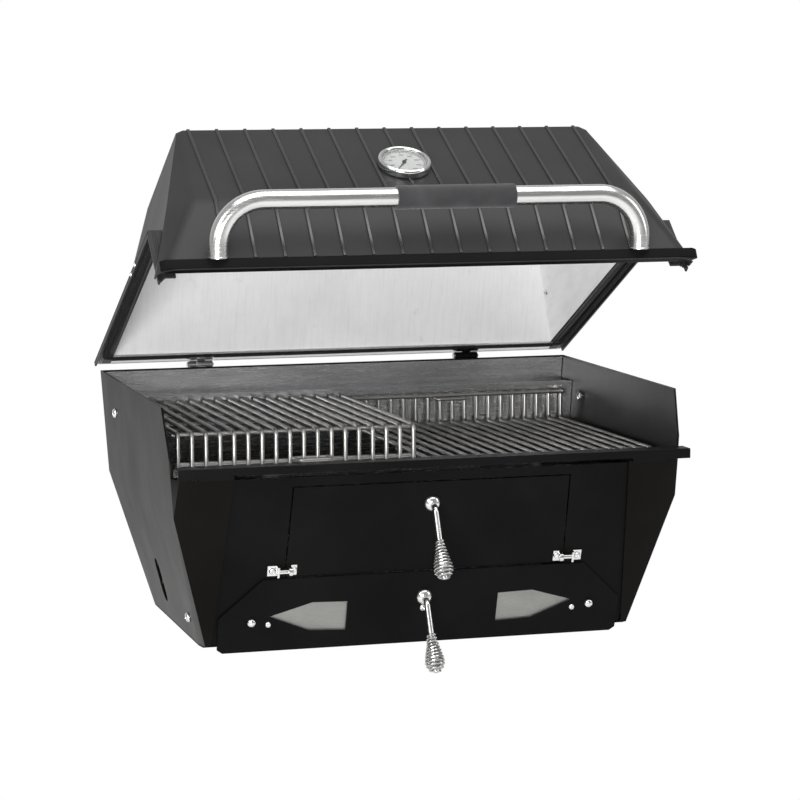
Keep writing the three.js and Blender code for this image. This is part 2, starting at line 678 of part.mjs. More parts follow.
const trayTabs = SIDES.map(([, side]) => {
  const x = side * (TRAY.half - THIN / 2);
  const tab = block(x - THIN / 2, x + THIN / 2, -300, -100, 14, 46);
  const reach = prismX(
    [
      [frontY(0, PANEL_Y) - 0.4 + GAP / 2, 0],
      [0, 0],
      [0, 100],
      [frontY(100, PANEL_Y) - 0.4 + GAP / 2, 100],
    ],
    -FAR,
    FAR,
  );
  return tab.intersect(reach);
});
const tray = trayOuter.subtract(trayInner).intersect(behindFront);
add("ash_tray", union(tray, trayLip, trayTabs), "steel");

// ---------------------------------------------------------------- lid
// The lid's own bowl as a convex solid, moved inwards by an inset.
function bowl(inset) {
  const drop = inset * 1.25;
  const wallHalf = (z) => RIDGE.half + LID_TAPER * (RIDGE.z - z);
  const low = 200;
  const lowFront = LIP.y - (LIP.z - low) * 0.22;
  const backSlope = (RIM_BACK.y - 12 - RIDGE.backY) / (RIDGE.z - RIM_BACK.z);
  const right = [
    [RIDGE.half, RIDGE.frontY + inset * 0.6, RIDGE.z],
    [RIDGE.half, RIDGE.backY - inset * 0.6, RIDGE.z],
    [FRONT_BEND.half, FRONT_BEND.y + drop, FRONT_BEND.z],
    [SIDE_BEND.half, SIDE_BEND.y + drop, SIDE_BEND.z],
    [LIP.half, LIP.y + drop, LIP.z],
    [wallHalf(LIP.z), LIP.y + 12 + drop, LIP.z],
    [LIP.half + 4, lowFront + drop, low],
    [wallHalf(low), lowFront + 12 + drop, low],
    [wallHalf(low), RIDGE.backY + backSlope * (RIDGE.z - low) - drop, low],
  ];
  const placed = right.map(([x, y, z]) => [x - inset, y, z === RIDGE.z ? z - inset : z]);
  return solid(new ConvexGeometry(placed.flatMap(([x, y, z]) => [V(x, y, z), V(-x, y, z)])));
}
// Everything below the rim line.
const rimSlope = (RIM_BACK.z - RIM_TURN.z) / (RIM_BACK.y - RIM_TURN.y);
const RIM_LINE = [
  [FAR, RIM_TURN.z + rimSlope * (FAR - RIM_TURN.y)],
  [RIM_TURN.y, RIM_TURN.z],
  [RIM_FRONT.y, RIM_FRONT.z],
];
const belowRim = prismX([...RIM_LINE, [RIM_FRONT.y, 100], [FAR, 100]], -FAR, FAR);
const belowLip = block(-FAR, FAR, -FAR, RIM_FRONT.y + 5, 100, LIP_BAND.low);

// A strip that follows the side rim: from one height above the rim line to another.
function rimStrip(x0, x1, low, high) {
  const back = RIM_BACK.y;
  const offset = (h) => [
    [back, RIM_BACK.z + h],
    [RIM_TURN.y - h * 0.9, RIM_TURN.z + h],
    [RIM_FRONT.y - h, RIM_FRONT.z + h * 0.4],
  ];
  return prismX([...offset(low), ...offset(high).reverse()], x0, x1);
}

// Below the lip band the flange narrows to a point at its outer edge.
const RIM_TIP_CUT = [
  [300, LIP_BAND.low],
  [344, LIP_BAND.low],
  [351, 232],
  [300, 232],
];

const shellParts = [bowl(0).subtract(belowRim).subtract(belowLip)];
for (const [, side] of SIDES) {
  const [inner, edge] = [side * 322, side * (RIM_HALF - 3)];
  const outer = side * RIM_HALF;
  const tipCut = prismY(mirrored(RIM_TIP_CUT, side), -FAR, FAR);
  shellParts.push(rimStrip(...ordered(inner, outer), 0, 3).subtract(tipCut));
  shellParts.push(rimStrip(...ordered(edge, outer), -4, 3));
}
shellParts.push(block(-RIM_HALF, RIM_HALF, 232, RIM_BACK.y, RIM_BACK.z, RIM_BACK.z + 3));
function bandEnd(side, reach) {
  return [
    [side * (reach - 9), LIP_BAND.backY],
    [side * reach, LIP_BAND.frontY + 5],
    [side * (reach - 7), LIP_BAND.frontY],
  ];
}
const bandOutline = [...bandEnd(-1, LIP_BAND.left), ...bandEnd(1, LIP_BAND.right).reverse()];
const bandSolid = extruded(shapeOf(bandOutline), LIP_BAND.high - LIP_BAND.low);
shellParts.push(solid(bandSolid.translate(0, 0, LIP_BAND.low)));

// Raised ribs over the top and front.
function rib(x, rise, half) {
  return prismX(
    [
      [RIDGE.backY - 4, RIDGE.z - 2],
      [RIDGE.backY - 4, RIDGE.z + rise],
      [RIDGE.frontY - 1, RIDGE.z + rise],
      [FRONT_BEND.y - rise * 1.3, FRONT_BEND.z + 1],
      [LIP.y - rise, LIP.z + 2],
      [LIP.y + 3, LIP.z + 2],
      [FRONT_BEND.y + 4, FRONT_BEND.z],
      [RIDGE.frontY + 4, RIDGE.z - 2],
    ],
    x - half,
    x + half,
  );
}
for (let i = -RIBS_EACH_SIDE; i <= RIBS_EACH_SIDE; i += 1) {
  shellParts.push(rib(i * RIB_PITCH, RIB_RISE, RIB_HALF));
}
const GAUGE_OUT = V(0, RIDGE.z - FRONT_BEND.z, RIDGE.frontY - FRONT_BEND.y);
GAUGE_OUT.set(0, -GAUGE_OUT.y, GAUGE_OUT.z).normalize();
const gaugeAt = V(0, GAUGE.y, GAUGE.z);
const gaugeSeat = pin(GAUGE.r + 1.5, gaugeAt, GAUGE_OUT, 0.2, 8, 20);
let shell = union(shellParts).subtract(bowl(LID_SHEET));
shell = shell.subtract(gaugeSeat).subtract(pin(5.2, gaugeAt, GAUGE_OUT, -20, 20, 12));
addToLid("lid_shell", shell, "lidBlack");

// Bright liner inside the bowl, its lower edge above the rim.
const linerGap = 0.5;
const linerShell = bowl(LID_SHEET + linerGap).subtract(bowl(LID_SHEET + linerGap + 1));
const aboveRim = prismX(
  [
    [RIM_BACK.y + 40, RIM_BACK.z + 6],
    [RIM_TURN.y + 6, RIM_TURN.z + 6],
    [RIM_FRONT.y + 8, RIM_FRONT.z + 12],
    [RIM_FRONT.y - 60, RIM_FRONT.z + 26],
    [RIM_FRONT.y - 60, 600],
    [RIM_BACK.y + 40, 600],
  ],
  -FAR,
  FAR,
);
let lidLiner = linerShell.intersect(aboveRim).subtract(pin(5.2, gaugeAt, GAUGE_OUT, -20, 20, 12));
lidLiner = lidLiner.subtract(block(-FAR, FAR, RIM_BACK.y - 30, FAR, 0, RIM_BACK.z + 3 + GAP));
addToLid("lid_liner", lidLiner, "liner");

// Rope seal under the side and back flanges, and a bright trim along the back edge.
const SEAL = { inner: 338, outer: 348 };
const seal = union(
  ...SIDES.map(([, side]) => {
    const strip = rimStrip(...ordered(side * SEAL.inner, side * SEAL.outer), -3.4, -GAP);
    return strip.intersect(block(-FAR, FAR, -205, 236, 0, FAR));
  }),
  block(-SEAL.outer, SEAL.outer, 226, 236, RIM_BACK.z - 4, RIM_BACK.z - 1.2),
);
addToLid("lid_seal", seal, "seal");
const trimY = RIM_BACK.y + GAP;
const trim = block(-RIM_HALF + 4, RIM_HALF - 4, trimY, trimY + 3, RIM_BACK.z, RIM_BACK.z + 6);
addToLid("lid_back_trim", trim, "bright");

// Hinges: a leaf on the back panel, a pin, and a leaf under the lid's back flange.
const hingeAt = V(0, HINGE_Y, HINGE_Z);
const HINGE_X = 200;
const leafHalf = 17;
const knuckle = 5.6;
for (const [word, side] of SIDES) {
  const x = side * HINGE_X;
  const bore = pin(3.4, hingeAt, along, x - 60, x + 60, 12);
  const base = union(
    block(x - leafHalf, x + leafHalf, BACK_Y + GAP, BACK_Y + 3, 286, 320),
    ...[x - leafHalf, x + 6].map((from) =>
      union(
        pin(knuckle, hingeAt, along, from, from + leafHalf - 6, 12),
        block(from, from + leafHalf - 6, BACK_Y + GAP, HINGE_Y, 315, 321.5),
      ),
    ),
  ).subtract(bore);
  add(`hinge_base_${word}`, base, side > 0 ? "black" : "steel");
  const pinShape = [[0, x - leafHalf - 3], [5, x - leafHalf - 3], [5, x - leafHalf - GAP]];
  pinShape.push([3, x - leafHalf - GAP], [3, x + leafHalf + 2], [0, x + leafHalf + 2]);
  add(`hinge_pin_${word}`, turned(pinShape, hingeAt, along, 12), "steel");
  const leaf = union(
    pin(knuckle, hingeAt, along, x - 5.5, x + 5.5, 12),
    block(x - 5.5, x + 5.5, 240, HINGE_Y, HINGE_Z + 3.6, RIM_BACK.z - GAP),
    block(x - leafHalf, x + leafHalf, 238, 248.5, RIM_BACK.z - 2.4, RIM_BACK.z - GAP),
  ).subtract(bore);
  addToLid(`lid_hinge_leaf_${word}`, leaf, side > 0 ? "black" : "steel");
}

// Handle: a bent tube with its ends cut to the lid's face, and a foam grip a little right of centre.
const handleUp = V(0, HANDLE_BAR.y - HANDLE_END.y, HANDLE_BAR.z - HANDLE_END.z).normalize();
const footAt = (x) => V(x, HANDLE_END.y, HANDLE_END.z).addScaledVector(handleUp, -14);
const bendAt = (x) => V(x, HANDLE_BAR.y, HANDLE_BAR.z);
const tubeCorners = [footAt(-HANDLE_HALF), bendAt(-HANDLE_HALF), bendAt(HANDLE_HALF), footAt(HANDLE_HALF)];
let tube = bar(rounded(tubeCorners, TUBE_BEND, 7), TUBE_R, 16);
tube = tube.subtract(bowl(-GAP)).subtract(block(-FAR, FAR, -FAR, FAR, 0, LIP_BAND.high + GAP));
for (const [, side] of SIDES) {
  tube = tube.subtract(rib(side * RIBS_EACH_SIDE * RIB_PITCH, RIB_RISE + GAP, RIB_HALF + GAP));
}
addToLid("lid_handle_tube", tube, "bright");
const barAt = V(0, HANDLE_BAR.y, HANDLE_BAR.z);
const gripBore = TUBE_R + 0.5;
const gripShape = [[gripBore, GRIP.from], [GRIP.r, GRIP.from], [GRIP.r, GRIP.to], [gripBore, GRIP.to]];
gripShape.push(gripShape[0]);
addToLid("lid_handle_grip", turned(gripShape, barAt, along, 16), "rubber");

// Thermometer: case with stem, nut inside the lid, dial, pointer and lens.
const caseShape = [[0, 0.6], [GAUGE.r - 1, 0.6], [GAUGE.r, 3], [GAUGE.r, 9], [GAUGE.r - 3, 12.5]];
caseShape.push([GAUGE.r - 5.5, 12.5], [GAUGE.r - 5.5, 4], [0, 4]);
const gaugeCase = turned(caseShape, gaugeAt, GAUGE_OUT, 28);
const stem = turned([[0, -62], [3, -60], [3, -22], [4.6, -22], [4.6, 2], [0, 2]], gaugeAt, GAUGE_OUT, 12);
addToLid("thermometer_case", gaugeCase.add(stem), "bright");
const nut = pin(9.5, gaugeAt, GAUGE_OUT, -9.5, -5, 6).subtract(pin(5.2, gaugeAt, GAUGE_OUT, -12, 0, 12));
addToLid("thermometer_nut", nut, "steel");
const dialR = GAUGE.r - 5.9;
addToLid("thermometer_dial", pin(dialR, gaugeAt, GAUGE_OUT, 4.3, 5.3, 28), "dial");
addToLid("thermometer_lens", pin(dialR, gaugeAt, GAUGE_OUT, 9, 10.6, 28), "dial");
const dialUp = V(0, GAUGE_OUT.z, -GAUGE_OUT.y);
const pointing = dialUp.clone().applyAxisAngle(GAUGE_OUT, THREE.MathUtils.degToRad(POINTER_DEG));
const hubAt = gaugeAt.clone().addScaledVector(GAUGE_OUT, 6.4);
const tipAt = hubAt.clone().addScaledVector(pointing, 23);
const tailAt = hubAt.clone().addScaledVector(pointing, -8);
const needleHub = pin(2.8, gaugeAt, GAUGE_OUT, 5.7, 8, 12);
addToLid("thermometer_needle", needleHub.add(bar([tailAt, tipAt], 0.7, 4)), "needle");

export default grill;
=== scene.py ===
"""Looks of the charcoal charbroiler grill head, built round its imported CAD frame."""

import json
import math
from itertools import pairwise

import bmesh
import bpy
from mathutils import Matrix, Quaternion, Vector

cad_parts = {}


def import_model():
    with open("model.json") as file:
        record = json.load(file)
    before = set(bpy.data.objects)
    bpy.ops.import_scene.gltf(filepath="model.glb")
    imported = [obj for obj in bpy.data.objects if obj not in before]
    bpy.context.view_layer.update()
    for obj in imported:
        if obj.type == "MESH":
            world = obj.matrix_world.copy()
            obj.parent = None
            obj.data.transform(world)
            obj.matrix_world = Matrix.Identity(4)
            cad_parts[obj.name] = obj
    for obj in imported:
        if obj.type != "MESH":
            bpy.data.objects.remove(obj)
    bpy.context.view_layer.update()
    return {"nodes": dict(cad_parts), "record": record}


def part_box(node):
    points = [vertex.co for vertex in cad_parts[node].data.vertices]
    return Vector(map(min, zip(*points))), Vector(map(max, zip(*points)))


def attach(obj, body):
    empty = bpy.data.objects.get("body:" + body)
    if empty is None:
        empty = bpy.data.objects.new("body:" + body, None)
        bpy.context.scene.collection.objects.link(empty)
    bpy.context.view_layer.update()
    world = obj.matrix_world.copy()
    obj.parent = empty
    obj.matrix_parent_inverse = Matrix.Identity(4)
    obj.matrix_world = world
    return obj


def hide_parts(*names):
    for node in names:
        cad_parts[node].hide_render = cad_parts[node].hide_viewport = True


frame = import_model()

# ---------------------------------------------------------------- driving dimensions, in millimetres
MM = 0.001
BODY_OF = {node: body for body, nodes in frame["record"]["behaviour"]["bodies"].items() for node in nodes}
SIDES = (("left", -1), ("right", 1))

# Front of the firebox: a plane that leans back towards the bottom.
FRONT_SLOPE = 0.328
FRONT_TOP_Z = 215
PANEL_Y = -240.9
ASH_Y = PANEL_Y - 2.9
ASH_PROUD = 2.9
GAP = 0.4

# Lid, drawn closed and then opened about its hinge pin.
HINGE = Vector((0, 255.1, 326))
LID_OPEN = math.radians(-27.2)
RIDGE_HALF, RIDGE_Z, RIDGE_FRONT_Y, RIDGE_BACK_Y = 284.5, 503.5, -140.5, 101.5
FRONT_BEND = (300, -247.5, 351)
SIDE_BEND = (326, -215.5, 358)
LIP = (340, -267, 260)
BAND_LEFT, BAND_RIGHT, BAND_LOW, BAND_HIGH, BAND_FRONT_Y, BAND_BACK_Y = 354.5, 361, 247, 261, -270.5, -256
RIM_HALF = 353.5
RIM_BACK_Y, RIM_BACK_Z = 256.2, 333
RIM_TURN_Y, RIM_TURN_Z = -211.5, 323.5
RIM_FRONT_Y, RIM_FRONT_Z = -244, 241
SEAL_HALF, SEAL_ENDS = 343, ((-203, 321.3), (231, 330.2))
TIP_STEPS, TIP_SHORT = (330, 344, 346.3, 348.6, RIM_HALF), (0.073, 0.056, 0.03, 0)
LID_TAPER = 0.286
LID_SHEET = 2
BEND_SOFT = 22
RIB_PITCH, RIBS_EACH_SIDE, RIB_RISE, RIB_HALF = 38.5, 7, 1.6, 2.2

# Lid handle and thermometer.
TUBE_R, TUBE_BEND, HANDLE_HALF = 12.7, 58, 280
HANDLE_END = Vector((0, -271, 262.5))
HANDLE_BAR = Vector((0, -307, 323))
GRIP_FROM, GRIP_TO, GRIP_R = -50, 107, 15.6
GAUGE = Vector((0, -201, 417))
GAUGE_R = 35.5

# Cooking grids.
RODS, ROD_R, ROD_FIRST_X, ROD_PITCH = 18, 3, 8.3, 18.43
GRID_LOW_Z, GRID_HIGH_Z = 237.4, 281
GRID_FRONT_Y, GRID_BACK_Y = -176.5, 180.6

# Spring pulls.
HANG = Vector((0, -0.43, -0.903)).normalized()
STUB, ROD_LENGTH, SPRING_LENGTH = 16, 96, 52
WIRE_R, SPRING_TURNS = 1.75, 11
DOOR_BOSS_Z, ASH_BOSS_Z = 186, 57
DOOR_AXIS = Vector((0, -210.2, 102.1))

OUT = Vector((0, -1, -FRONT_SLOPE)).normalized()
X_AXIS = Vector((1, 0, 0))
Z_AXIS = Vector((0, 0, 1))


def front_y(z, base):
    return base + FRONT_SLOPE * (FRONT_TOP_Z - z)


def on_front(x, z, base):
    return Vector((x, front_y(z, base), z))


def opened():
    """Turns what is drawn with the lid closed to the lid's place at rest."""
    there = Matrix.Translation(HINGE)
    return there @ Matrix.Rotation(LID_OPEN, 4, "X") @ there.inverted()


# ---------------------------------------------------------------- materials
# The colour sockets of Blender's Mix node, which share their names with its number sockets.
MIX_SHARE, MIX_FIRST, MIX_SECOND, MIX_RESULT = 0, 6, 7, 2


class Paint:
    """A node material with short calls for the nodes that every finish here uses."""

    def __init__(self, name, colour, roughness, metallic=0.0, specular=0.5):
        self.material = bpy.data.materials.new(name)
        self.material.use_nodes = True
        self.nodes = self.material.node_tree.nodes
        self.links = self.material.node_tree.links
        self.shader = self.nodes["Principled BSDF"]
        self.shader.inputs["Base Color"].default_value = (*colour, 1)
        self.shader.inputs["Roughness"].default_value = roughness
        self.shader.inputs["Metallic"].default_value = metallic
        self.shader.inputs["Specular IOR Level"].default_value = specular
        self.place = self.nodes.new("ShaderNodeTexCoord").outputs["Object"]
        self.bumps = []

    def stretched(self, scale):
        node = self.nodes.new("ShaderNodeMapping")
        node.inputs["Scale"].default_value = scale
        self.links.new(self.place, node.inputs["Vector"])
        return node.outputs["Vector"]

    def noise(self, scale, detail=4, stretch=None, roughness=0.5):
        node = self.nodes.new("ShaderNodeTexNoise")
        node.inputs["Scale"].default_value = scale
        node.inputs["Detail"].default_value = detail
        node.inputs["Roughness"].default_value = roughness
        self.links.new(self.stretched(stretch) if stretch else self.place, node.inputs["Vector"])
        return node.outputs["Fac"]

    def ramp(self, source, low, high, out_low=0.0, out_high=1.0):
        node = self.nodes.new("ShaderNodeMapRange")
        node.inputs["From Min"].default_value = low
        node.inputs["From Max"].default_value = high
        node.inputs["To Min"].default_value = out_low
        node.inputs["To Max"].default_value = out_high
        self.links.new(source, node.inputs["Value"])
        return node.outputs["Result"]

    def times(self, first, second):
        node = self.nodes.new("ShaderNodeMath")
        node.operation = "MULTIPLY"
        for value, socket in zip((first, second), node.inputs):
            if isinstance(value, (int, float)):
                socket.default_value = value
            else:
                self.links.new(value, socket)
        return node.outputs["Value"]

    def tint(self, share, colour):
        """Mixes a second colour over the base by a share that varies over the surface."""
        node = self.nodes.new("ShaderNodeMix")
        node.data_type = "RGBA"
        base = self.shader.inputs["Base Color"]
        if base.is_linked:
            self.links.new(base.links[0].from_socket, node.inputs[MIX_FIRST])
        else:
            node.inputs[MIX_FIRST].default_value = base.default_value
        node.inputs[MIX_SECOND].default_value = (*colour, 1)
        self.links.new(share, node.inputs[MIX_SHARE])
        self.links.new(node.outputs[MIX_RESULT], base)

    def rough(self, source, low, high, from_low=0.3, from_high=0.7):
        self.links.new(self.ramp(source, from_low, from_high, low, high), self.shader.inputs["Roughness"])

    def bump(self, height, strength, distance):
        node = self.nodes.new("ShaderNodeBump")
        node.inputs["Strength"].default_value = strength
        node.inputs["Distance"].default_value = distance
        self.links.new(height, node.inputs["Height"])
        if self.bumps:
            self.links.new(self.bumps[-1].outputs["Normal"], node.inputs["Normal"])
        self.bumps.append(node)
        self.links.new(node.outputs["Normal"], self.shader.inputs["Normal"])

    def facing(self, axis):
        """The share of the surface's normal along one axis."""
        geometry = self.nodes.new("ShaderNodeNewGeometry")
        split = self.nodes.new("ShaderNodeSeparateXYZ")
        self.links.new(geometry.outputs["Normal"], split.inputs["Vector"])
        return split.outputs[axis]


def powder_coat(name, colour, dust, roughness, specular):
    """Baked powder paint: a fine orange peel, uneven gloss, faint smears and dust on what faces up."""
    paint = Paint(name, colour, roughness, 0.0, specular)
    peel = paint.noise(900, 3)
    blotch = paint.noise(9, 5)
    smear = paint.noise(11, 6, (1, 1, 0.5), 0.6)
    paint.tint(paint.ramp(blotch, 0.35, 0.75, 0.0, 0.5), tuple(min(1, c * 1.5 + 0.004) for c in colour))
    upwards = paint.ramp(paint.facing("Z"), 0.1, 1, 0, 0.7)
    paint.tint(paint.times(upwards, paint.ramp(smear, 0.4, 0.8)), dust)
    paint.rough(smear, roughness - 0.03, roughness + 0.05)
    paint.bump(peel, 0.22, 0.25 * MM)
    paint.bump(paint.noise(160, 2), 0.08, 0.5 * MM)
    return paint.material


def brushed(name, colour, stain, stretch, roughness, streak=0.22, depth=0.12, top_shade=0.0):
    """Steel brushed one way, with streaks and dull stains; what faces up can be darkened with painted shade.
    """
    paint = Paint(name, colour, roughness, 1.0)
    lines = paint.noise(520, 4, stretch, 0.7)
    broad = paint.noise(60, 4, stretch, 0.6)
    cloud = paint.noise(11, 6, None, 0.6)
    paint.tint(paint.ramp(broad, 0.35, 0.7, 0, streak), tuple(c * 0.55 for c in colour))
    paint.tint(paint.ramp(cloud, 0.52, 0.8, 0, 0.6), stain)
    # Painted shade: what faces up, such as the tops of the grid rods, is darkened in colour.
    if top_shade:
        patchy = paint.ramp(paint.noise(40, 5), 0.25, 0.55, 0.6, 1.0)
        upwards = paint.ramp(paint.facing("Z"), 0.1, 0.7, 0, top_shade)
        paint.tint(paint.times(upwards, patchy), (0.10, 0.095, 0.09))
    paint.rough(lines, roughness - 0.08, roughness + 0.12)
    paint.bump(lines, depth, 0.08 * MM)
    return paint.material


def polished(name, colour, roughness):
    """Bright plated steel with faint rub marks and specks."""
    paint = Paint(name, colour, roughness, 1.0)
    rub = paint.noise(70, 6, (1, 1, 0.4), 0.65)
    paint.tint(paint.ramp(paint.noise(260, 3), 0.6, 0.8, 0, 0.5), tuple(c * 0.45 for c in colour))
    paint.rough(rub, max(roughness - 0.05, 0.03), roughness + 0.14)
    paint.bump(rub, 0.05, 0.1 * MM)
    return paint.material


def mill_liner(name):
    """Bright sheet liner: cloudy mill finish, faint upright brushing and shallow waves."""
    paint = Paint(name, (0.98, 0.98, 0.985), 0.46, 0.1)
    lines = paint.noise(300, 4, (1, 0.06, 0.06), 0.7)
    cloud = paint.noise(7, 7, None, 0.62)
    spots = paint.noise(38, 5, None, 0.7)
    paint.tint(paint.ramp(cloud, 0.4, 0.75, 0, 0.55), (0.74, 0.74, 0.74))
    paint.tint(paint.ramp(spots, 0.62, 0.8, 0, 0.5), (0.60, 0.59, 0.57))
    paint.tint(paint.ramp(lines, 0.45, 0.8, 0, 0.35), (0.66, 0.66, 0.66))
    paint.rough(cloud, 0.34, 0.56)
    paint.bump(lines, 0.12, 0.1 * MM)
    paint.bump(paint.noise(9, 2), 0.16, 6 * MM)
    return paint.material


def black_iron(name):
    paint = Paint(name, (0.052, 0.050, 0.048), 0.78, 0.35, 0.3)
    grain = paint.noise(420, 6, None, 0.7)
    paint.tint(paint.ramp(paint.noise(24, 6), 0.5, 0.72, 0, 0.8), (0.11, 0.105, 0.10))
    paint.tint(paint.ramp(paint.noise(60, 5), 0.6, 0.8, 0, 0.5), (0.09, 0.045, 0.025))
    paint.rough(grain, 0.65, 0.95)
    paint.bump(grain, 0.5, 0.4 * MM)
    return paint.material


def foam(name):
    """Closed-cell foam rubber: fine cells, a dull bloom and lightly worn patches."""
    paint = Paint(name, (0.030, 0.030, 0.032), 0.86, 0.0, 0.35)
    cells = paint.nodes.new("ShaderNodeTexVoronoi")
    cells.inputs["Scale"].default_value = 900
    paint.links.new(paint.place, cells.inputs["Vector"])
    paint.tint(paint.ramp(cells.outputs["Distance"], 0.0, 0.7, 0.6, 0.0), (0.012, 0.012, 0.013))
    paint.tint(paint.ramp(paint.noise(30, 6), 0.45, 0.75, 0, 0.7), (0.055, 0.055, 0.058))
    paint.rough(paint.noise(120, 4), 0.78, 0.95)
    paint.bump(cells.outputs["Distance"], 0.7, 0.5 * MM)
    paint.shader.inputs["Sheen Weight"].default_value = 0.25
    return paint.material


def braid(name):
    """Woven rope seal: two sets of slanting strands."""
    paint = Paint(name, (0.012, 0.012, 0.012), 0.95, 0.0, 0.2)
    strands = []
    for turn in (1, -1):
        wave = paint.nodes.new("ShaderNodeTexWave")
        wave.bands_direction = "DIAGONAL"
        wave.inputs["Scale"].default_value = 160
        wave.inputs["Distortion"].default_value = 1.5
        paint.links.new(paint.stretched((turn, 1, 1)), wave.inputs["Vector"])
        strands.append(wave.outputs["Fac"])
    weave = paint.times(*strands)
    paint.tint(paint.ramp(weave, 0.2, 0.9, 0, 0.8), (0.045, 0.043, 0.04))
    paint.bump(weave, 0.9, 1.0 * MM)
    return paint.material


def enamel(name, colour):
    paint = Paint(name, colour, 0.35, 0.0, 0.5)
    paint.tint(paint.ramp(paint.noise(90, 5), 0.5, 0.8, 0, 0.4), tuple(c * 0.86 for c in colour))
    paint.rough(paint.noise(200, 3), 0.28, 0.45)
    paint.bump(paint.noise(600, 2), 0.05, 0.1 * MM)
    return paint.material


def lens_glass(name):
    paint = Paint(name, (0.97, 0.98, 0.98), 0.03, 0.0, 0.5)
    paint.shader.inputs["Transmission Weight"].default_value = 1.0
    paint.shader.inputs["IOR"].default_value = 1.45
    paint.rough(paint.noise(50, 5), 0.0, 0.07, 0.4, 0.8)
    return paint.material


BLACK = powder_coat("black_powder_coat", (0.0030, 0.0030, 0.0031), (0.010, 0.010, 0.0105), 0.46, 0.06)
WALL = powder_coat("side_powder_coat", (0.0024, 0.0023, 0.0022), (0.02, 0.019, 0.018), 0.40, 0.08)
WALL.node_tree.nodes["Principled BSDF"].inputs["Specular Tint"].default_value = (1, 0.92, 0.86, 1)
LID = powder_coat("lid_powder_coat", (0.019, 0.019, 0.020), (0.032, 0.032, 0.033), 0.48, 0.34)
BEAD = powder_coat("bead_powder_coat", (0.020, 0.020, 0.021), (0.030, 0.030, 0.031), 0.26, 0.9)
TRIM = powder_coat("rim_powder_coat", (0.0035, 0.0035, 0.0037), (0.008, 0.008, 0.0082), 0.42, 0.08)
TUBE = brushed("brushed_tube", (0.80, 0.80, 0.79), (0.66, 0.65, 0.63), (0.04, 1, 1), 0.20, 0.10, 0.012)
RODS_STEEL = brushed(
    "drawn_rod", (0.52, 0.515, 0.50), (0.30, 0.285, 0.26), (1, 0.05, 1), 0.36, 0.3, 0.06, 0.8
)
SHEET_STEEL = brushed(
    "sheet_stainless", (0.56, 0.56, 0.57), (0.36, 0.36, 0.36), (0.04, 1, 1), 0.21, 0.2, 0.05
)
PLATED = polished("bright_plating", (0.83, 0.83, 0.82), 0.16)
SPRING_WIRE = polished("spring_wire", (0.58, 0.58, 0.57), 0.2)
CHROME = polished("gauge_chrome", (0.86, 0.86, 0.86), 0.10)
DAMPER = brushed("damper_zinc", (0.34, 0.34, 0.325), (0.25, 0.25, 0.235), (0.3, 1, 1), 0.5, 0.25, 0.08)
LINER = mill_liner("lid_liner_steel")
IRON = black_iron("charcoal_iron")
FOAM = foam("grip_foam")
ROPE = braid("rope_seal")
DIAL = enamel("dial_enamel", (0.88, 0.88, 0.86))
INK = enamel("dial_ink", (0.015, 0.015, 0.015))
GLASS = lens_glass("lens_glass")


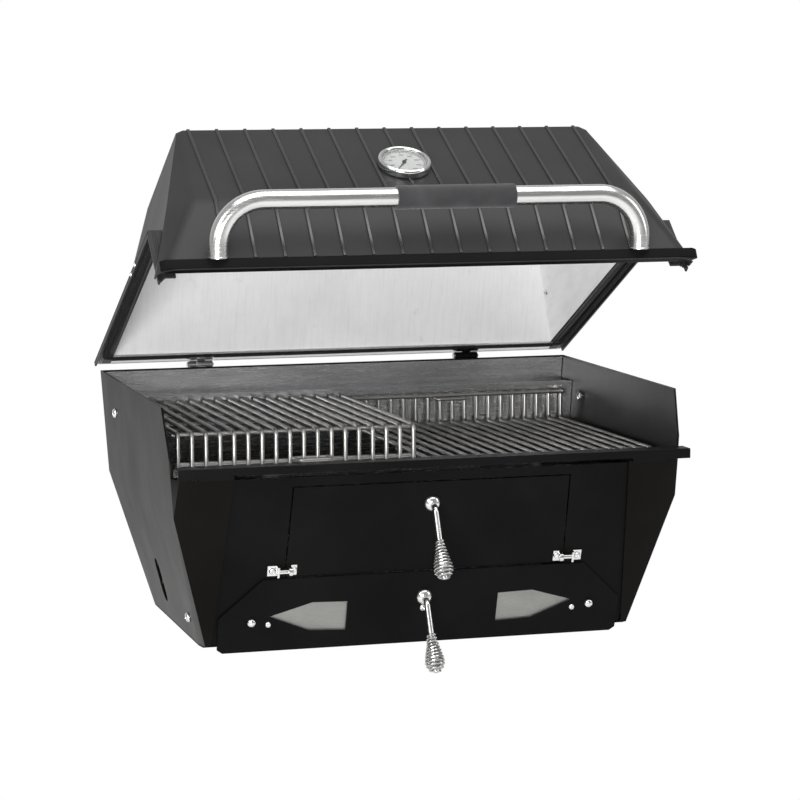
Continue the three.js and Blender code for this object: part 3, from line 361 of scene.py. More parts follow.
# ---------------------------------------------------------------- mesh work
class Build:
    """Gathers closed shapes drawn in millimetres into one bmesh."""

    def __init__(self, turn=None):
        self.mesh = bmesh.new()
        self.turn = turn or Matrix.Identity(4)

    def add(self, points, faces):
        made = [self.mesh.verts.new(p) for p in points]
        for face in faces:
            self.mesh.faces.new([made[i] for i in face])

    def join(self, other):
        """Takes in another bmesh and frees it."""
        bmesh.ops.recalc_face_normals(other, faces=other.faces)
        keep = bpy.data.meshes.new("part")
        other.to_mesh(keep)
        other.free()
        self.mesh.from_mesh(keep)
        bpy.data.meshes.remove(keep)

    def prism(self, outline, axis, start, end, soft=0.6, steps=2):
        """An outline run along one axis, with its edges rounded off."""
        part = bmesh.new()
        rings = []
        for value in (start, end):
            ring = []
            for point in outline:
                place = list(point)
                place.insert(axis, value)
                ring.append(part.verts.new(place))
            rings.append(ring)
            part.faces.new(ring)
        count = len(outline)
        for i in range(count):
            j = (i + 1) % count
            part.faces.new((rings[0][i], rings[0][j], rings[1][j], rings[1][i]))
        if soft:
            soften(part, soft, steps)
        self.join(part)

    def block(self, low, high, soft=0.6, steps=2):
        (x0, y0, z0), (x1, y1, z1) = low, high
        self.prism([(x0, y0), (x1, y0), (x1, y1), (x0, y1)], 2, z0, z1, soft, steps)

    def lathe(self, profile, at, along, sides=32):
        """A profile of (radius, height) turned about a line. It closes on itself or ends on the line."""
        part = bmesh.new()
        turn = Vector((0, 0, 1)).rotation_difference(along.normalized())
        closed = profile[0] == profile[-1]
        points = profile[:-1] if closed else profile
        rings = []
        for radius, height in points:
            if radius < 1e-6:
                rings.append([part.verts.new(at + turn @ Vector((0, 0, height)))])
                continue
            ring = []
            for k in range(sides):
                angle = 2 * math.pi * k / sides
                local = Vector((radius * math.cos(angle), radius * math.sin(angle), height))
                ring.append(part.verts.new(at + turn @ local))
            rings.append(ring)
        pairs = list(zip(rings, rings[1:]))
        if closed:
            pairs.append((rings[-1], rings[0]))
        for low, high in pairs:
            for k in range(sides):
                n = (k + 1) % sides
                corners = [low[k % len(low)], low[n % len(low)], high[n % len(high)], high[k % len(high)]]
                corners = list(dict.fromkeys(corners))
                if len(corners) > 2:
                    part.faces.new(corners)
        self.join(part)

    def sweep(self, points, radius, sides=14, flat=1.0, up=None, dome=True):
        """A round bar along points. flat squeezes it along up; radius may be a list."""
        part = bmesh.new()
        count = len(points)
        radii = radius if isinstance(radius, list) else [radius] * count
        side_way = None
        rings = []
        for i, point in enumerate(points):
            tangent = (points[min(i + 1, count - 1)] - points[max(i - 1, 0)]).normalized()
            if side_way is None:
                guess = up or (Z_AXIS if abs(tangent.z) < 0.9 else X_AXIS)
                side_way = tangent.cross(guess).normalized()
            side_way = (side_way - tangent * side_way.dot(tangent)).normalized()
            other = tangent.cross(side_way)
            ring = []
            for k in range(sides):
                angle = 2 * math.pi * k / sides
                offset = side_way * math.cos(angle) + other * (math.sin(angle) * flat)
                ring.append(part.verts.new(point + offset * radii[i]))
            rings.append(ring)
        for low, high in zip(rings, rings[1:]):
            for k in range(sides):
                n = (k + 1) % sides
                part.faces.new((low[k], low[n], high[n], high[k]))
        part.faces.new(rings[0])
        part.faces.new(rings[-1])
        if dome:
            soften(part, min(radii) * 0.35, 2, 60)
        self.join(part)


def soften(mesh, width, steps=2, least=25, most=181, spare=lambda face: False):
    """Rounds every edge that turns by an angle between two limits, unless it meets a spared face."""
    bmesh.ops.recalc_face_normals(mesh, faces=mesh.faces)
    edges = [
        edge
        for edge in mesh.edges
        if len(edge.link_faces) == 2
        and least < math.degrees(edge.calc_face_angle(0)) < most
        and not any(spare(face) for face in edge.link_faces)
    ]
    bmesh.ops.bevel(
        mesh, geom=edges, offset=width, segments=steps, profile=0.5, affect="EDGES", clamp_overlap=True
    )


def place(build, name, material, slot, node=None, body=None, smooth=32):
    """Makes the piece, rides it on its body and lets it stand for its CAD node."""
    mesh = bpy.data.meshes.new(name)
    bmesh.ops.transform(build.mesh, matrix=Matrix.Scale(MM, 4) @ build.turn, verts=build.mesh.verts)
    build.mesh.to_mesh(mesh)
    build.mesh.free()
    mesh.materials.append(material)
    finish_piece(mesh, name, slot, node, body, smooth)


def finish_piece(mesh, name, slot, node=None, body=None, smooth=32):
    piece = bpy.data.objects.new(name, mesh)
    bpy.context.scene.collection.objects.link(piece)
    mesh.shade_smooth()
    mesh.set_sharp_from_angle(angle=math.radians(smooth))
    weighted = piece.modifiers.new("even_normals", "WEIGHTED_NORMAL")
    weighted.keep_sharp = True
    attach(piece, body or BODY_OF[node])
    if node:
        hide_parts(node)


def refined(node, name, material, slot, width):
    """The CAD sheet-metal piece again, with whole faces and rounded edges."""
    mesh = frame["nodes"][node].data.copy()
    mesh.name = name
    work = bmesh.new()
    work.from_mesh(mesh)
    bmesh.ops.remove_doubles(work, verts=work.verts, dist=1e-6)
    bmesh.ops.dissolve_limit(work, angle_limit=math.radians(0.4), verts=work.verts, edges=work.edges)
    soften(work, width * MM)
    work.to_mesh(mesh)
    work.free()
    mesh.materials.clear()
    mesh.materials.append(material)
    for polygon in mesh.polygons:
        polygon.material_index = 0
    finish_piece(mesh, name, slot, node)


def rounded(corners, radius, steps=6):
    """A path whose inner corners are arcs."""
    points = [corners[0]]
    for before, corner, after in zip(corners, corners[1:], corners[2:]):
        into = (before - corner).normalized()
        out = (after - corner).normalized()
        half = into.angle(out) / 2
        centre = corner + (into + out).normalized() * (radius / math.sin(half))
        start = corner + into * (radius / math.tan(half)) - centre
        axis = start.cross(corner - centre).normalized()
        sweep = math.pi - 2 * half
        for k in range(steps + 1):
            points.append(centre + Quaternion(axis, sweep * k / steps) @ start)
    points.append(corners[-1])
    return points


def filled(points, spacing):
    """Adds points to the long straight stretches of a path."""
    path = [points[0]]
    for start, end in zip(points, points[1:]):
        count = max(1, round((end - start).length / spacing))
        path += [start.lerp(end, k / count) for k in range(1, count + 1)]
    return path


def screw_head(build, at, along, radius, height, drive="cross"):
    """A domed screw head with a recess for its driver."""
    depth, inner, outer = (0.4, 0.45, 0.5) if drive == "hex" else (0.62, 0.3, 0.34)
    dome = [(0, height * depth), (radius * inner, height * depth), (radius * outer, height)]
    dome += [(radius * 0.7, height * 0.86), (radius * 0.93, height * 0.5)]
    dome += [(radius, height * 0.12), (radius, 0), (0, 0)]
    build.lathe(dome, at, along, 24)


# ---------------------------------------------------------------- firebox
SHEET_PIECES = (
    ("front_panel", BLACK, "body_black", 0.5),
    ("back_panel", BLACK, "body_black", 0.5),
    ("bottom_pan", BLACK, "body_black", 0.5),
    ("front_rail", TRIM, "body_black", 0.7),
    ("left_side_panel", WALL, "body_black", 0.8),
    ("right_side_panel", WALL, "body_black", 0.8),
    ("charcoal_door", BLACK, "body_black", 0.7),
    ("ash_drawer_front", BLACK, "body_black", 0.7),
    ("left_damper", DAMPER, "stainless", 0.3),
    ("right_damper", DAMPER, "stainless", 0.3),
    ("back_liner", SHEET_STEEL, "stainless", 0.5),
    ("front_grid_ledge", SHEET_STEEL, "stainless", 0.4),
    ("back_high_ledge", SHEET_STEEL, "stainless", 0.4),
    ("back_low_ledge", SHEET_STEEL, "stainless", 0.4),
    ("ash_tray", SHEET_STEEL, "stainless", 0.4),
    ("grate_ledge_left", IRON, "dark_iron", 0.4),
    ("grate_ledge_right", IRON, "dark_iron", 0.4),
    ("charcoal_grate", IRON, "dark_iron", 0.6),
    ("door_handle_cam", PLATED, "stainless", 0.3),
    ("ash_handle_cam", PLATED, "stainless", 0.3),
)
for node, material, slot, width in SHEET_PIECES:
    refined(node, node + "_sheet", material, slot, width)


def centre_of(node):
    low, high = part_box(node)
    return (Vector(low) + Vector(high)) / 2 / MM


def side_bolts():
    """Domed bolts through the side walls, each with a nut inside."""
    for word, side in SIDES:
        for level, lean in (("upper", -0.07), ("lower", -46 / 180)):
            node = f"side_bolt_{word}_{level}"
            centre = centre_of(node)
            along = Vector((side, 0, lean)).normalized()
            build = Build()
            build.lathe([(3, -7), (3, 3.4), (0, 3.4), (0, -7)], centre, along, 20)
            screw_head(build, centre + along * 3.0, along, 6.5, 3.8)
            build.lathe([(3, -3.6), (6.2, -3.6), (6.2, -6.6), (3, -6.6), (3, -3.6)], centre, along, 6)
            place(build, node + "_screw", PLATED, "stainless", node)


def front_hardware():
    """Door brackets and pivots, damper knobs and bolts, and the lock screw."""
    for word, side in SIDES:
        bracket = Build()
        stand_off(bracket, side * 198, side * 201, GAP, 9)
        stand_off(bracket, side * 198, side * 213, GAP, 2.4)
        bar = [(0, 180), (2.6, 180), (3, 180.4), (3, 201.5), (2.2, 203), (0, 203)]
        bracket.lathe([(r, side * h) for r, h in bar], DOOR_AXIS, X_AXIS, 24)
        screw_head(bracket, on_front(side * 207, DOOR_AXIS.z + 2, PANEL_Y) + OUT * 2.3, OUT, 4.4, 3.2)
        place(bracket, f"door_bracket_{word}_plated", PLATED, "bright_steel", f"door_bracket_{word}")
        pivot = Build()
        ring = [(3.5, -2.5), (5.6, -2.5), (6, -2.1), (6, 2.1), (5.6, 2.5), (3.5, 2.5), (3.5, -2.5)]
        pivot.lathe(ring, DOOR_AXIS + X_AXIS * side * 183.5, X_AXIS, 28)
        stand_off(pivot, side * 174, side * 182, GAP, 2.2)
        screw_head(pivot, on_front(side * 177.6, DOOR_AXIS.z + 3, PANEL_Y) + OUT * 2.1, OUT, 3.6, 2.6)
        place(pivot, f"door_pivot_{word}_plated", PLATED, "bright_steel", f"door_pivot_{word}")
        head = ASH_PROUD + GAP
        knob = Build()
        shape = [(0, -3.4), (4.4, -3.4), (4.4, -1.7), (2.3, -1.7), (2.3, head), (5.4, head)]
        shape += [(5.8, head + 0.6), (5.8, head + 3.6), (5.2, head + 4.8)]
        shape += [(4, head + 5.8), (2.4, head + 6.6), (0, head + 6.9)]
        knob.lathe(shape, on_front(side * 230.5, 35.5, PANEL_Y), OUT, 28)
        place(knob, f"{word}_damper_knob_turned", PLATED, "bright_steel", f"{word}_damper_knob")
        bolt = Build()
        at = on_front(side * 207.7, 30.6, PANEL_Y)
        shank = [(0, -3.8), (4, -3.8), (4, -1.7), (2.3, -1.7), (2.3, head + 0.2), (0, head + 0.2)]
        bolt.lathe(shank, at, OUT, 20)
        screw_head(bolt, at + OUT * (head + 0.1), OUT, 4.2, 2.9)
        place(bolt, f"{word}_damper_pivot_bolt", PLATED, "bright_steel", f"{word}_damper_pivot")
    lock = Build()
    at = on_front(0, 42, PANEL_Y)
    lock.lathe([(0, -4), (2, -4), (2, 3.3), (0, 3.3)], at, OUT, 20)
    screw_head(lock, at + OUT * 3.3, OUT, 4.6, 3.1, "hex")
    place(lock, "ash_lock_screw_turned", PLATED, "bright_steel", "ash_lock_screw")


def stand_off(build, x0, x1, start, end):
    """A small block on the front, from one height above the panel to another."""
    section = []
    for up, out in ((-7, start), (7, start), (7, end), (-7, end)):
        foot = on_front(0, DOOR_AXIS.z + 2 + up, PANEL_Y) + OUT * out
        section.append((foot.y, foot.z))
    build.prism(section, 0, min(x0, x1), max(x0, x1), 0.5)


def spring_pull(name, z, base):
    """A domed boss, a bent rod and a grip wound from wire into a pear shape."""
    at = on_front(0, z, base)
    boss = Build()
    dome = [(4.3, GAP), (10.6, GAP), (11, 0.8), (11, 2.4), (10.3, 4.2)]
    dome += [(9, 6), (7.2, 7.5), (5.4, 8.5), (4.3, 8.8)]
    boss.lathe(dome + dome[:1], at, OUT, 40)
    place(boss, f"{name}_boss_dome", PLATED, "bright_steel", f"{name}_boss")
    elbow = at + OUT * STUB
    tip = elbow + HANG * (ROD_LENGTH - 1)
    rod = Build()
    rod.sweep(filled(rounded([at - OUT * 9, elbow, tip], 14, 10), 8), 4, 20)
    place(rod, f"{name}_rod_bent", PLATED, "bright_steel", f"{name}_rod")
    start = elbow + HANG * (ROD_LENGTH - SPRING_LENGTH - 2 + WIRE_R)
    length = SPRING_LENGTH - 2 * WIRE_R
    side_way = HANG.cross(X_AXIS).normalized()
    path = []
    steps = SPRING_TURNS * 20
    for i in range(steps + 1):
        t = i / steps
        radius = pear(t) - WIRE_R
        angle = 2 * math.pi * SPRING_TURNS * t
        ring = X_AXIS * math.cos(angle) + side_way * math.sin(angle)
        path.append(start + HANG * length * t + ring * radius)
    grip = Build()
    grip.sweep(path, WIRE_R, 10)
    place(grip, f"{name}_spring_wound", SPRING_WIRE, "bright_steel", f"{name}_spring")


def pear(t):
    """Outer radius of the spring grip along its length."""
    stations = ((0, 5.9), (0.12, 6.9), (0.3, 8.6), (0.5, 11.1), (0.66, 13.0))
    stations += ((0.78, 13.4), (0.88, 12.2), (0.95, 9.8), (1, 7.6))
    for (t0, r0), (t1, r1) in zip(stations, stations[1:]):
        if t <= t1:
            share = (t - t0) / (t1 - t0)
            share = share * share * (3 - 2 * share) * 0.5 + share * 0.5
            return r0 + (r1 - r0) * share
    return stations[-1][1]


# ---------------------------------------------------------------- cooking grids
def cooking_grid(name, side, flat_z, leg_z, leg_y, far_y, cross_z, handle_z):
    """Drawn round rods, each with a leg at one end, on cross rods, with a lift loop."""
    build = Build()
    for i in range(RODS):
        x = side * (ROD_FIRST_X + ROD_PITCH * i)
        corners = [Vector((x, far_y, flat_z)), Vector((x, leg_y, flat_z)), Vector((x, leg_y, leg_z))]
        build.sweep(rounded(corners, 7, 7), ROD_R, 14, up=X_AXIS)
    first = side * (ROD_FIRST_X - ROD_R)
    last = side * (ROD_FIRST_X + ROD_PITCH * (RODS - 1) + ROD_R)
    inward = math.copysign(1, far_y - leg_y)
    lines = [(y, cross_z) for y in (-150, -45, 60, 150)]
    lines.append((leg_y + inward * 4.6, leg_z + 3.5 * math.copysign(1, flat_z - leg_z)))
    for y, z in lines:
        build.sweep([Vector((first, y, z)), Vector((last, y, z))], ROD_R, 14)
    middle = side * (ROD_FIRST_X + ROD_PITCH * 7.5)
    out = leg_y - 24
    ends = ((-21, leg_y), (-21, out), (21, out), (21, leg_y))
    loop = [Vector((middle + dx, y, handle_z)) for dx, y in ends]
    build.sweep(rounded(loop, 5, 6), 2.6, 14)
    build.sweep([Vector((middle - 27, leg_y, handle_z)), Vector((middle + 27, leg_y, handle_z))], 2.6, 14)
    place(build, name + "_rods", RODS_STEEL, "stainless", name)


# ---------------------------------------------------------------- lid
RIM_SLOPE = (RIM_BACK_Z - RIM_TURN_Z) / (RIM_BACK_Y - RIM_TURN_Y)


def hull(points):
    """The convex mesh round some points."""
    mesh = bmesh.new()
    for point in points:
        mesh.verts.new(point)
    made = bmesh.ops.convex_hull(mesh, input=mesh.verts)
    spare = [item for item in made["geom_interior"] if isinstance(item, bmesh.types.BMVert)]
    bmesh.ops.delete(mesh, geom=spare, context="VERTS")
    return mesh


def bowl(inset, soft):
    """The lid's own shape, moved inwards by an inset, as a closed convex mesh with rounded edges."""
    drop = inset * 1.25
    low = 200
    low_front = LIP[1] - (LIP[2] - low) * 0.22
    back_slope = (RIM_BACK_Y - 12 - RIDGE_BACK_Y) / (RIDGE_Z - RIM_BACK_Z)

    def wall(z):
        return RIDGE_HALF + LID_TAPER * (RIDGE_Z - z)

    right = [
        (RIDGE_HALF, RIDGE_FRONT_Y + inset * 0.6, RIDGE_Z - inset),
        (RIDGE_HALF, RIDGE_BACK_Y - inset * 0.6, RIDGE_Z - inset),
        (FRONT_BEND[0], FRONT_BEND[1] + drop, FRONT_BEND[2]),
        (SIDE_BEND[0], SIDE_BEND[1] + drop, SIDE_BEND[2]),
        (LIP[0], LIP[1] + drop, LIP[2]),
        (wall(LIP[2]), LIP[1] + 12 + drop, LIP[2]),
        (LIP[0] + 4, low_front + drop, low),
        (wall(low), low_front + 12 + drop, low),
        (wall(low), RIDGE_BACK_Y + back_slope * (RIDGE_Z - low) - drop, low),
    ]
    mesh = hull(Vector((side * (x - inset), y, z)) for x, y, z in right for side in (1, -1))
    mesh.normal_update()
    walls = [(face.normal.copy(), face.verts[0].co.copy()) for face in mesh.faces]
    bmesh.ops.dissolve_limit(mesh, angle_limit=math.radians(1), verts=mesh.verts, edges=mesh.edges)
    soften(mesh, BEND_SOFT, 7, 3, 50, lambda face: abs(face.normal.x) > 0.9)
    soften(mesh, soft, 4, 25)
    inside = [v.co.copy() for v in mesh.verts if all(n.dot(v.co - p) < 0.2 for n, p in walls)]
    mesh.free()
    smooth = hull(inside)
    bmesh.ops.dissolve_limit(smooth, angle_limit=math.radians(0.5), verts=smooth.verts, edges=smooth.edges)
    return smooth


def cut_along(mesh, lines, keep):
    """Cuts a mesh by planes through lines in Y and Z, and keeps the faces whose middle passes a test."""
    for (y0, z0), (y1, z1) in lines:
        normal = Vector((0, z1 - z0, y0 - y1)).normalized()
        geometry = mesh.verts[:] + mesh.edges[:] + mesh.faces[:]
        bmesh.ops.bisect_plane(mesh, geom=geometry, plane_co=Vector((0, y0, z0)), plane_no=normal, dist=1e-4)
    gone = [face for face in mesh.faces if not keep(face.calc_center_median())]
    bmesh.ops.delete(mesh, geom=gone, context="FACES")


def above(point, line):
    (y0, z0), (y1, z1) = line
    return point.z > z0 + (z1 - z0) * (point.y - y0) / (y1 - y0)


def thicken(mesh, thickness):
    """Gives an open sheet its thickness, inwards."""
    middle = Vector((0, 0, 400))
    inwards = [face for face in mesh.faces if (face.calc_center_median() - middle).dot(face.normal) < 0]
    bmesh.ops.reverse_faces(mesh, faces=inwards)
    bmesh.ops.solidify(mesh, geom=mesh.faces[:], thickness=thickness)


def rim_outline(low, high, short=0):
    """A strip that follows the side rim, from one height above the rim line to another."""
    front_y_end = RIM_FRONT_Y + (RIM_TURN_Y - RIM_FRONT_Y) * short
    front_z_end = RIM_FRONT_Z + (RIM_TURN_Z - RIM_FRONT_Z) * short

    def offset(h):
        return [
            (RIM_BACK_Y, RIM_BACK_Z + h),
            (RIM_TURN_Y - h * 0.9, RIM_TURN_Z + h),
            (front_y_end - h, front_z_end + h * 0.4),
        ]

    return offset(low) + offset(high)[::-1]


def lid_shell():
    build = Build(opened())
    rim = ((RIM_TURN_Y, RIM_TURN_Z), (RIM_BACK_Y, RIM_BACK_Z))
    turn = ((RIM_FRONT_Y, RIM_FRONT_Z), (RIM_TURN_Y, RIM_TURN_Z))
    band = ((-300, BAND_LOW), (-200, BAND_LOW))
    shell = bowl(0, 7)

    def kept(point):
        if point.y > RIM_TURN_Y:
            return above(point, rim)
        return above(point, rim) or (point.z > BAND_LOW and above(point, turn))

    cut_along(shell, (rim, turn, band), kept)
    thicken(shell, LID_SHEET)
    build.join(shell)
    for _, side in SIDES:
        # Below the band the flange narrows to a point at its outer edge.
        for (inner, outer), short in zip(pairwise(TIP_STEPS), TIP_SHORT):
            ends = sorted((side * inner, side * outer))
            build.prism(rim_outline(0, 3, short), 0, *ends, 0.5)
        build.prism(rim_outline(-4, 2.6), 0, *sorted((side * (RIM_HALF - 3), side * RIM_HALF)), 0.8)
    place(build, "lid_shell_pressed", LID, "lid_black", "lid_shell", smooth=40)
    flange = Build(opened())
    flange.block((-RIM_HALF, 232, RIM_BACK_Z), (RIM_HALF, RIM_BACK_Y, RIM_BACK_Z + 3), 0.8)
    place(flange, "lid_back_flange", TUBE, "stainless", "lid_shell")
    beads = Build(opened())
    for i in range(-RIBS_EACH_SIDE, RIBS_EACH_SIDE + 1):
        rib(beads, i * RIB_PITCH)
    place(beads, "lid_beads", BEAD, "lid_black", "lid_shell", smooth=50)
    band = Build(opened())
    ends = []
    for side, reach in ((-1, BAND_LEFT), (1, BAND_RIGHT)):
        end = [(reach - 9, BAND_BACK_Y), (reach, BAND_FRONT_Y + 5), (reach - 7, BAND_FRONT_Y)]
        ends += [(side * x, y) for x, y in end[::-side]]
    band.prism(ends, 2, BAND_LOW, BAND_HIGH, 1.6, 3)
    place(band, "lid_lip_band", TRIM, "lid_black", "lid_shell")


def rib(build, x):
    """One raised bead over the ridge and down the front."""
    outline = [
        (RIDGE_BACK_Y - 4, RIDGE_Z - 2),
        (RIDGE_BACK_Y - 4, RIDGE_Z + RIB_RISE),
        (RIDGE_FRONT_Y - 1, RIDGE_Z + RIB_RISE),
        (FRONT_BEND[1] - RIB_RISE * 1.3, FRONT_BEND[2] + 1),
        (LIP[1] - RIB_RISE, LIP[2] + 2),
        (LIP[1] + 3, LIP[2] + 2),
        (FRONT_BEND[1] + 4, FRONT_BEND[2]),
        (RIDGE_FRONT_Y + 4, RIDGE_Z - 2),
    ]
    build.prism(outline, 0, x - RIB_HALF, x + RIB_HALF, 0.9, 3)


def lid_liner():
    """The bright inner skin, with its corners softly folded and its fixing screws."""
    build = Build(opened())
    inset = LID_SHEET + 0.5
    side_line = ((RIM_TURN_Y + 6, RIM_TURN_Z + 6), (RIM_BACK_Y + 40, RIM_BACK_Z + 6))
    turn_line = ((RIM_FRONT_Y + 8, RIM_FRONT_Z + 12), (RIM_TURN_Y + 6, RIM_TURN_Z + 6))
    front_line = ((RIM_FRONT_Y - 60, RIM_FRONT_Z + 26), (RIM_FRONT_Y + 8, RIM_FRONT_Z + 12))

    def kept(point):
        if point.y > RIM_TURN_Y + 6:
            return above(point, side_line)
        return above(point, side_line) or (above(point, turn_line) and above(point, front_line))

    skin = bowl(inset, 7)
    cut_along(skin, (side_line, turn_line, front_line), kept)
    thicken(skin, 1)
    build.join(skin)
    place(build, "lid_liner_skin", LINER, "liner_steel", "lid_liner", smooth=40)
    screws = Build(opened())
    for _, side in SIDES:
        for y, z in ((180, 393), (-60, 393)):
            x = side * (RIDGE_HALF + LID_TAPER * (RIDGE_Z - z) - inset - 1.2)
            inwards = Vector((-side, 0, -LID_TAPER)).normalized()
            screw_head(screws, Vector((x, y, z)), inwards, 5, 2.4)
    place(screws, "lid_liner_screws", PLATED, "bright_steel", body="lid")


def lid_rim_parts():
    """Rope seal, back trim and the two small screws on each side of the rim."""
    seal = Build(opened())
    ends = SEAL_ENDS + SEAL_ENDS[::-1]
    corners = [Vector((side * SEAL_HALF, *end)) for side, end in zip((-1, -1, 1, 1), ends)]
    seal.sweep(filled(rounded(corners, 8, 6), 20), 4.1, 12, flat=0.38, up=Z_AXIS)
    place(seal, "lid_seal_rope", ROPE, "rope_seal", "lid_seal")
    trim = Build(opened())
    low = RIM_BACK_Y + GAP
    trim.block((-RIM_HALF + 4, low, RIM_BACK_Z), (RIM_HALF - 4, low + 3, RIM_BACK_Z + 6), 0.9, 3)
    place(trim, "lid_back_trim_bar", TUBE, "bright_steel", "lid_back_trim")
    screws = Build(opened())
    for y in (-109, -77):
        z = RIM_TURN_Z + RIM_SLOPE * (y - RIM_TURN_Y)
        for _, side in SIDES:
            screw_head(screws, Vector((side * (RIM_HALF - 0.3), y, z - 0.4)), X_AXIS * side, 3.1, 2.2)
    place(screws, "lid_rim_screws", PLATED, "bright_steel", body="lid")


def hinges():
    """Two butt hinges: a base with two knuckles, a leaf with one, and a headed pin."""
    half, knuckle = 17, 5.6
    back_y = 241.5
    for word, side in SIDES:
        x = side * 200
        material, slot = (BLACK, "body_black") if side > 0 else (SHEET_STEEL, "stainless")
        base = Build()
        base.block((x - half, back_y + GAP, 286), (x + half, back_y + 3, 320), 0.6)
        for start in (x - half, x + 6):
            barrel(base, start, start + half - 6, knuckle)
            base.block((start, back_y + GAP, 315), (start + half - 6, HINGE.y, 321.5), 0.5)
        for dx in (-10, 10):
            screw_head(base, Vector((x + dx, back_y + 2.8, 300)), Vector((0, 1, 0)), 3.6, 2)
        place(base, f"hinge_base_{word}_knuckled", material, slot, f"hinge_base_{word}")
        leaf = Build(opened())
        barrel(leaf, x - 5.5, x + 5.5, knuckle)
        leaf.block((x - 5.5, 240, HINGE.z + 3.6), (x + 5.5, HINGE.y, RIM_BACK_Z - GAP), 0.4)
        leaf.block((x - half, 238, RIM_BACK_Z - 2.4), (x + half, 248.5, RIM_BACK_Z - GAP), 0.4)
        place(leaf, f"lid_hinge_leaf_{word}_knuckled", material, slot, f"lid_hinge_leaf_{word}")
        pin = Build()
        shape = [(0, -half - 3), (4.2, -half - 3), (5, -half - 2.2), (5, -half - GAP), (3, -half - GAP)]
        shape += [(3, half + 1.2), (2.2, half + 2), (0, half + 2)]
        pin.lathe(shape, Vector((x, HINGE.y, HINGE.z)), X_AXIS, 28)
        place(pin, f"hinge_pin_{word}_turned", PLATED, "stainless", f"hinge_pin_{word}")


def barrel(build, start, end, radius):
    """A hollow hinge knuckle about the hinge line."""
    soft = 0.5
    shape = [(3.4, start), (radius - soft, start), (radius, start + soft), (radius, end - soft)]
    shape += [(radius - soft, end), (3.4, end), (3.4, start)]
    build.lathe(shape, Vector((0, HINGE.y, HINGE.z)), X_AXIS, 28)


def lid_handle():
    """A bent stainless tube that stands on the lip, with a foam grip."""
    up = (HANDLE_BAR - HANDLE_END).normalized()
    foot = HANDLE_END - up * 1.5
    ends = ((foot, -1), (HANDLE_BAR, -1), (HANDLE_BAR, 1), (foot, 1))
    corners = [at + X_AXIS * side * HANDLE_HALF for at, side in ends]
    tube = Build(opened())
    tube.sweep(filled(rounded(corners, TUBE_BEND, 18), 30), TUBE_R, 48, dome=False)
    for side in (-1, 1):
        collar = [(TUBE_R + 0.9, 0.4), (TUBE_R + 0.9, 1.6), (TUBE_R - 0.4, 2.6), (TUBE_R - 0.4, 0.4)]
        collar.append(collar[0])
        tube.lathe(collar, foot + X_AXIS * side * HANDLE_HALF, up, 40)
    place(tube, "lid_handle_tube_bent", TUBE, "bright_steel", "lid_handle_tube")
    grip = Build(opened())
    bore = TUBE_R + 0.3
    shape = [(bore, GRIP_FROM), (GRIP_R - 1.4, GRIP_FROM)]
    shape += [(GRIP_R - 0.4, GRIP_FROM + 0.5), (GRIP_R, GRIP_FROM + 1.8)]
    stations = 12
    for k in range(1, stations):
        t = k / stations
        x = GRIP_FROM + (GRIP_TO - GRIP_FROM) * t
        shape.append((GRIP_R - 0.25 * math.sin(math.pi * t) ** 2 - 0.12 * math.sin(9 * t), x))
    shape += [(GRIP_R, GRIP_TO - 1.8), (GRIP_R - 0.4, GRIP_TO - 0.5)]
    shape += [(GRIP_R - 1.4, GRIP_TO), (bore, GRIP_TO)]
    grip.lathe(shape + shape[:1], Vector((0, HANDLE_BAR.y, HANDLE_BAR.z)), X_AXIS, 48)
    place(grip, "lid_handle_grip_foam", FOAM, "grip_foam", "lid_handle_grip", smooth=50)


# ---------------------------------------------------------------- thermometer
GAUGE_OUT = Vector((0, -(RIDGE_Z - FRONT_BEND[2]), RIDGE_FRONT_Y - FRONT_BEND[1])).normalized()
DIAL_UP = Vector((0, GAUGE_OUT.z, -GAUGE_OUT.y))
DIAL_SWEEP = math.radians(145)  # to each side of straight up; the pointer rests at the low end
DIAL_FACE = 5.3
TICKS, TICKS_PER_NUMBER, ARC_STEPS = 40, 5, 60


def dial_point(angle, radius, height):
    """A point over the dial: the angle runs clockwise from straight up, as the cook sees it."""
    return GAUGE + (X_AXIS * math.sin(angle) + DIAL_UP * math.cos(angle)) * radius + GAUGE_OUT * height


def dial_angle(share):
    """The angle of a share of the scale, from its low end."""
    return -DIAL_SWEEP + 2 * DIAL_SWEEP * share


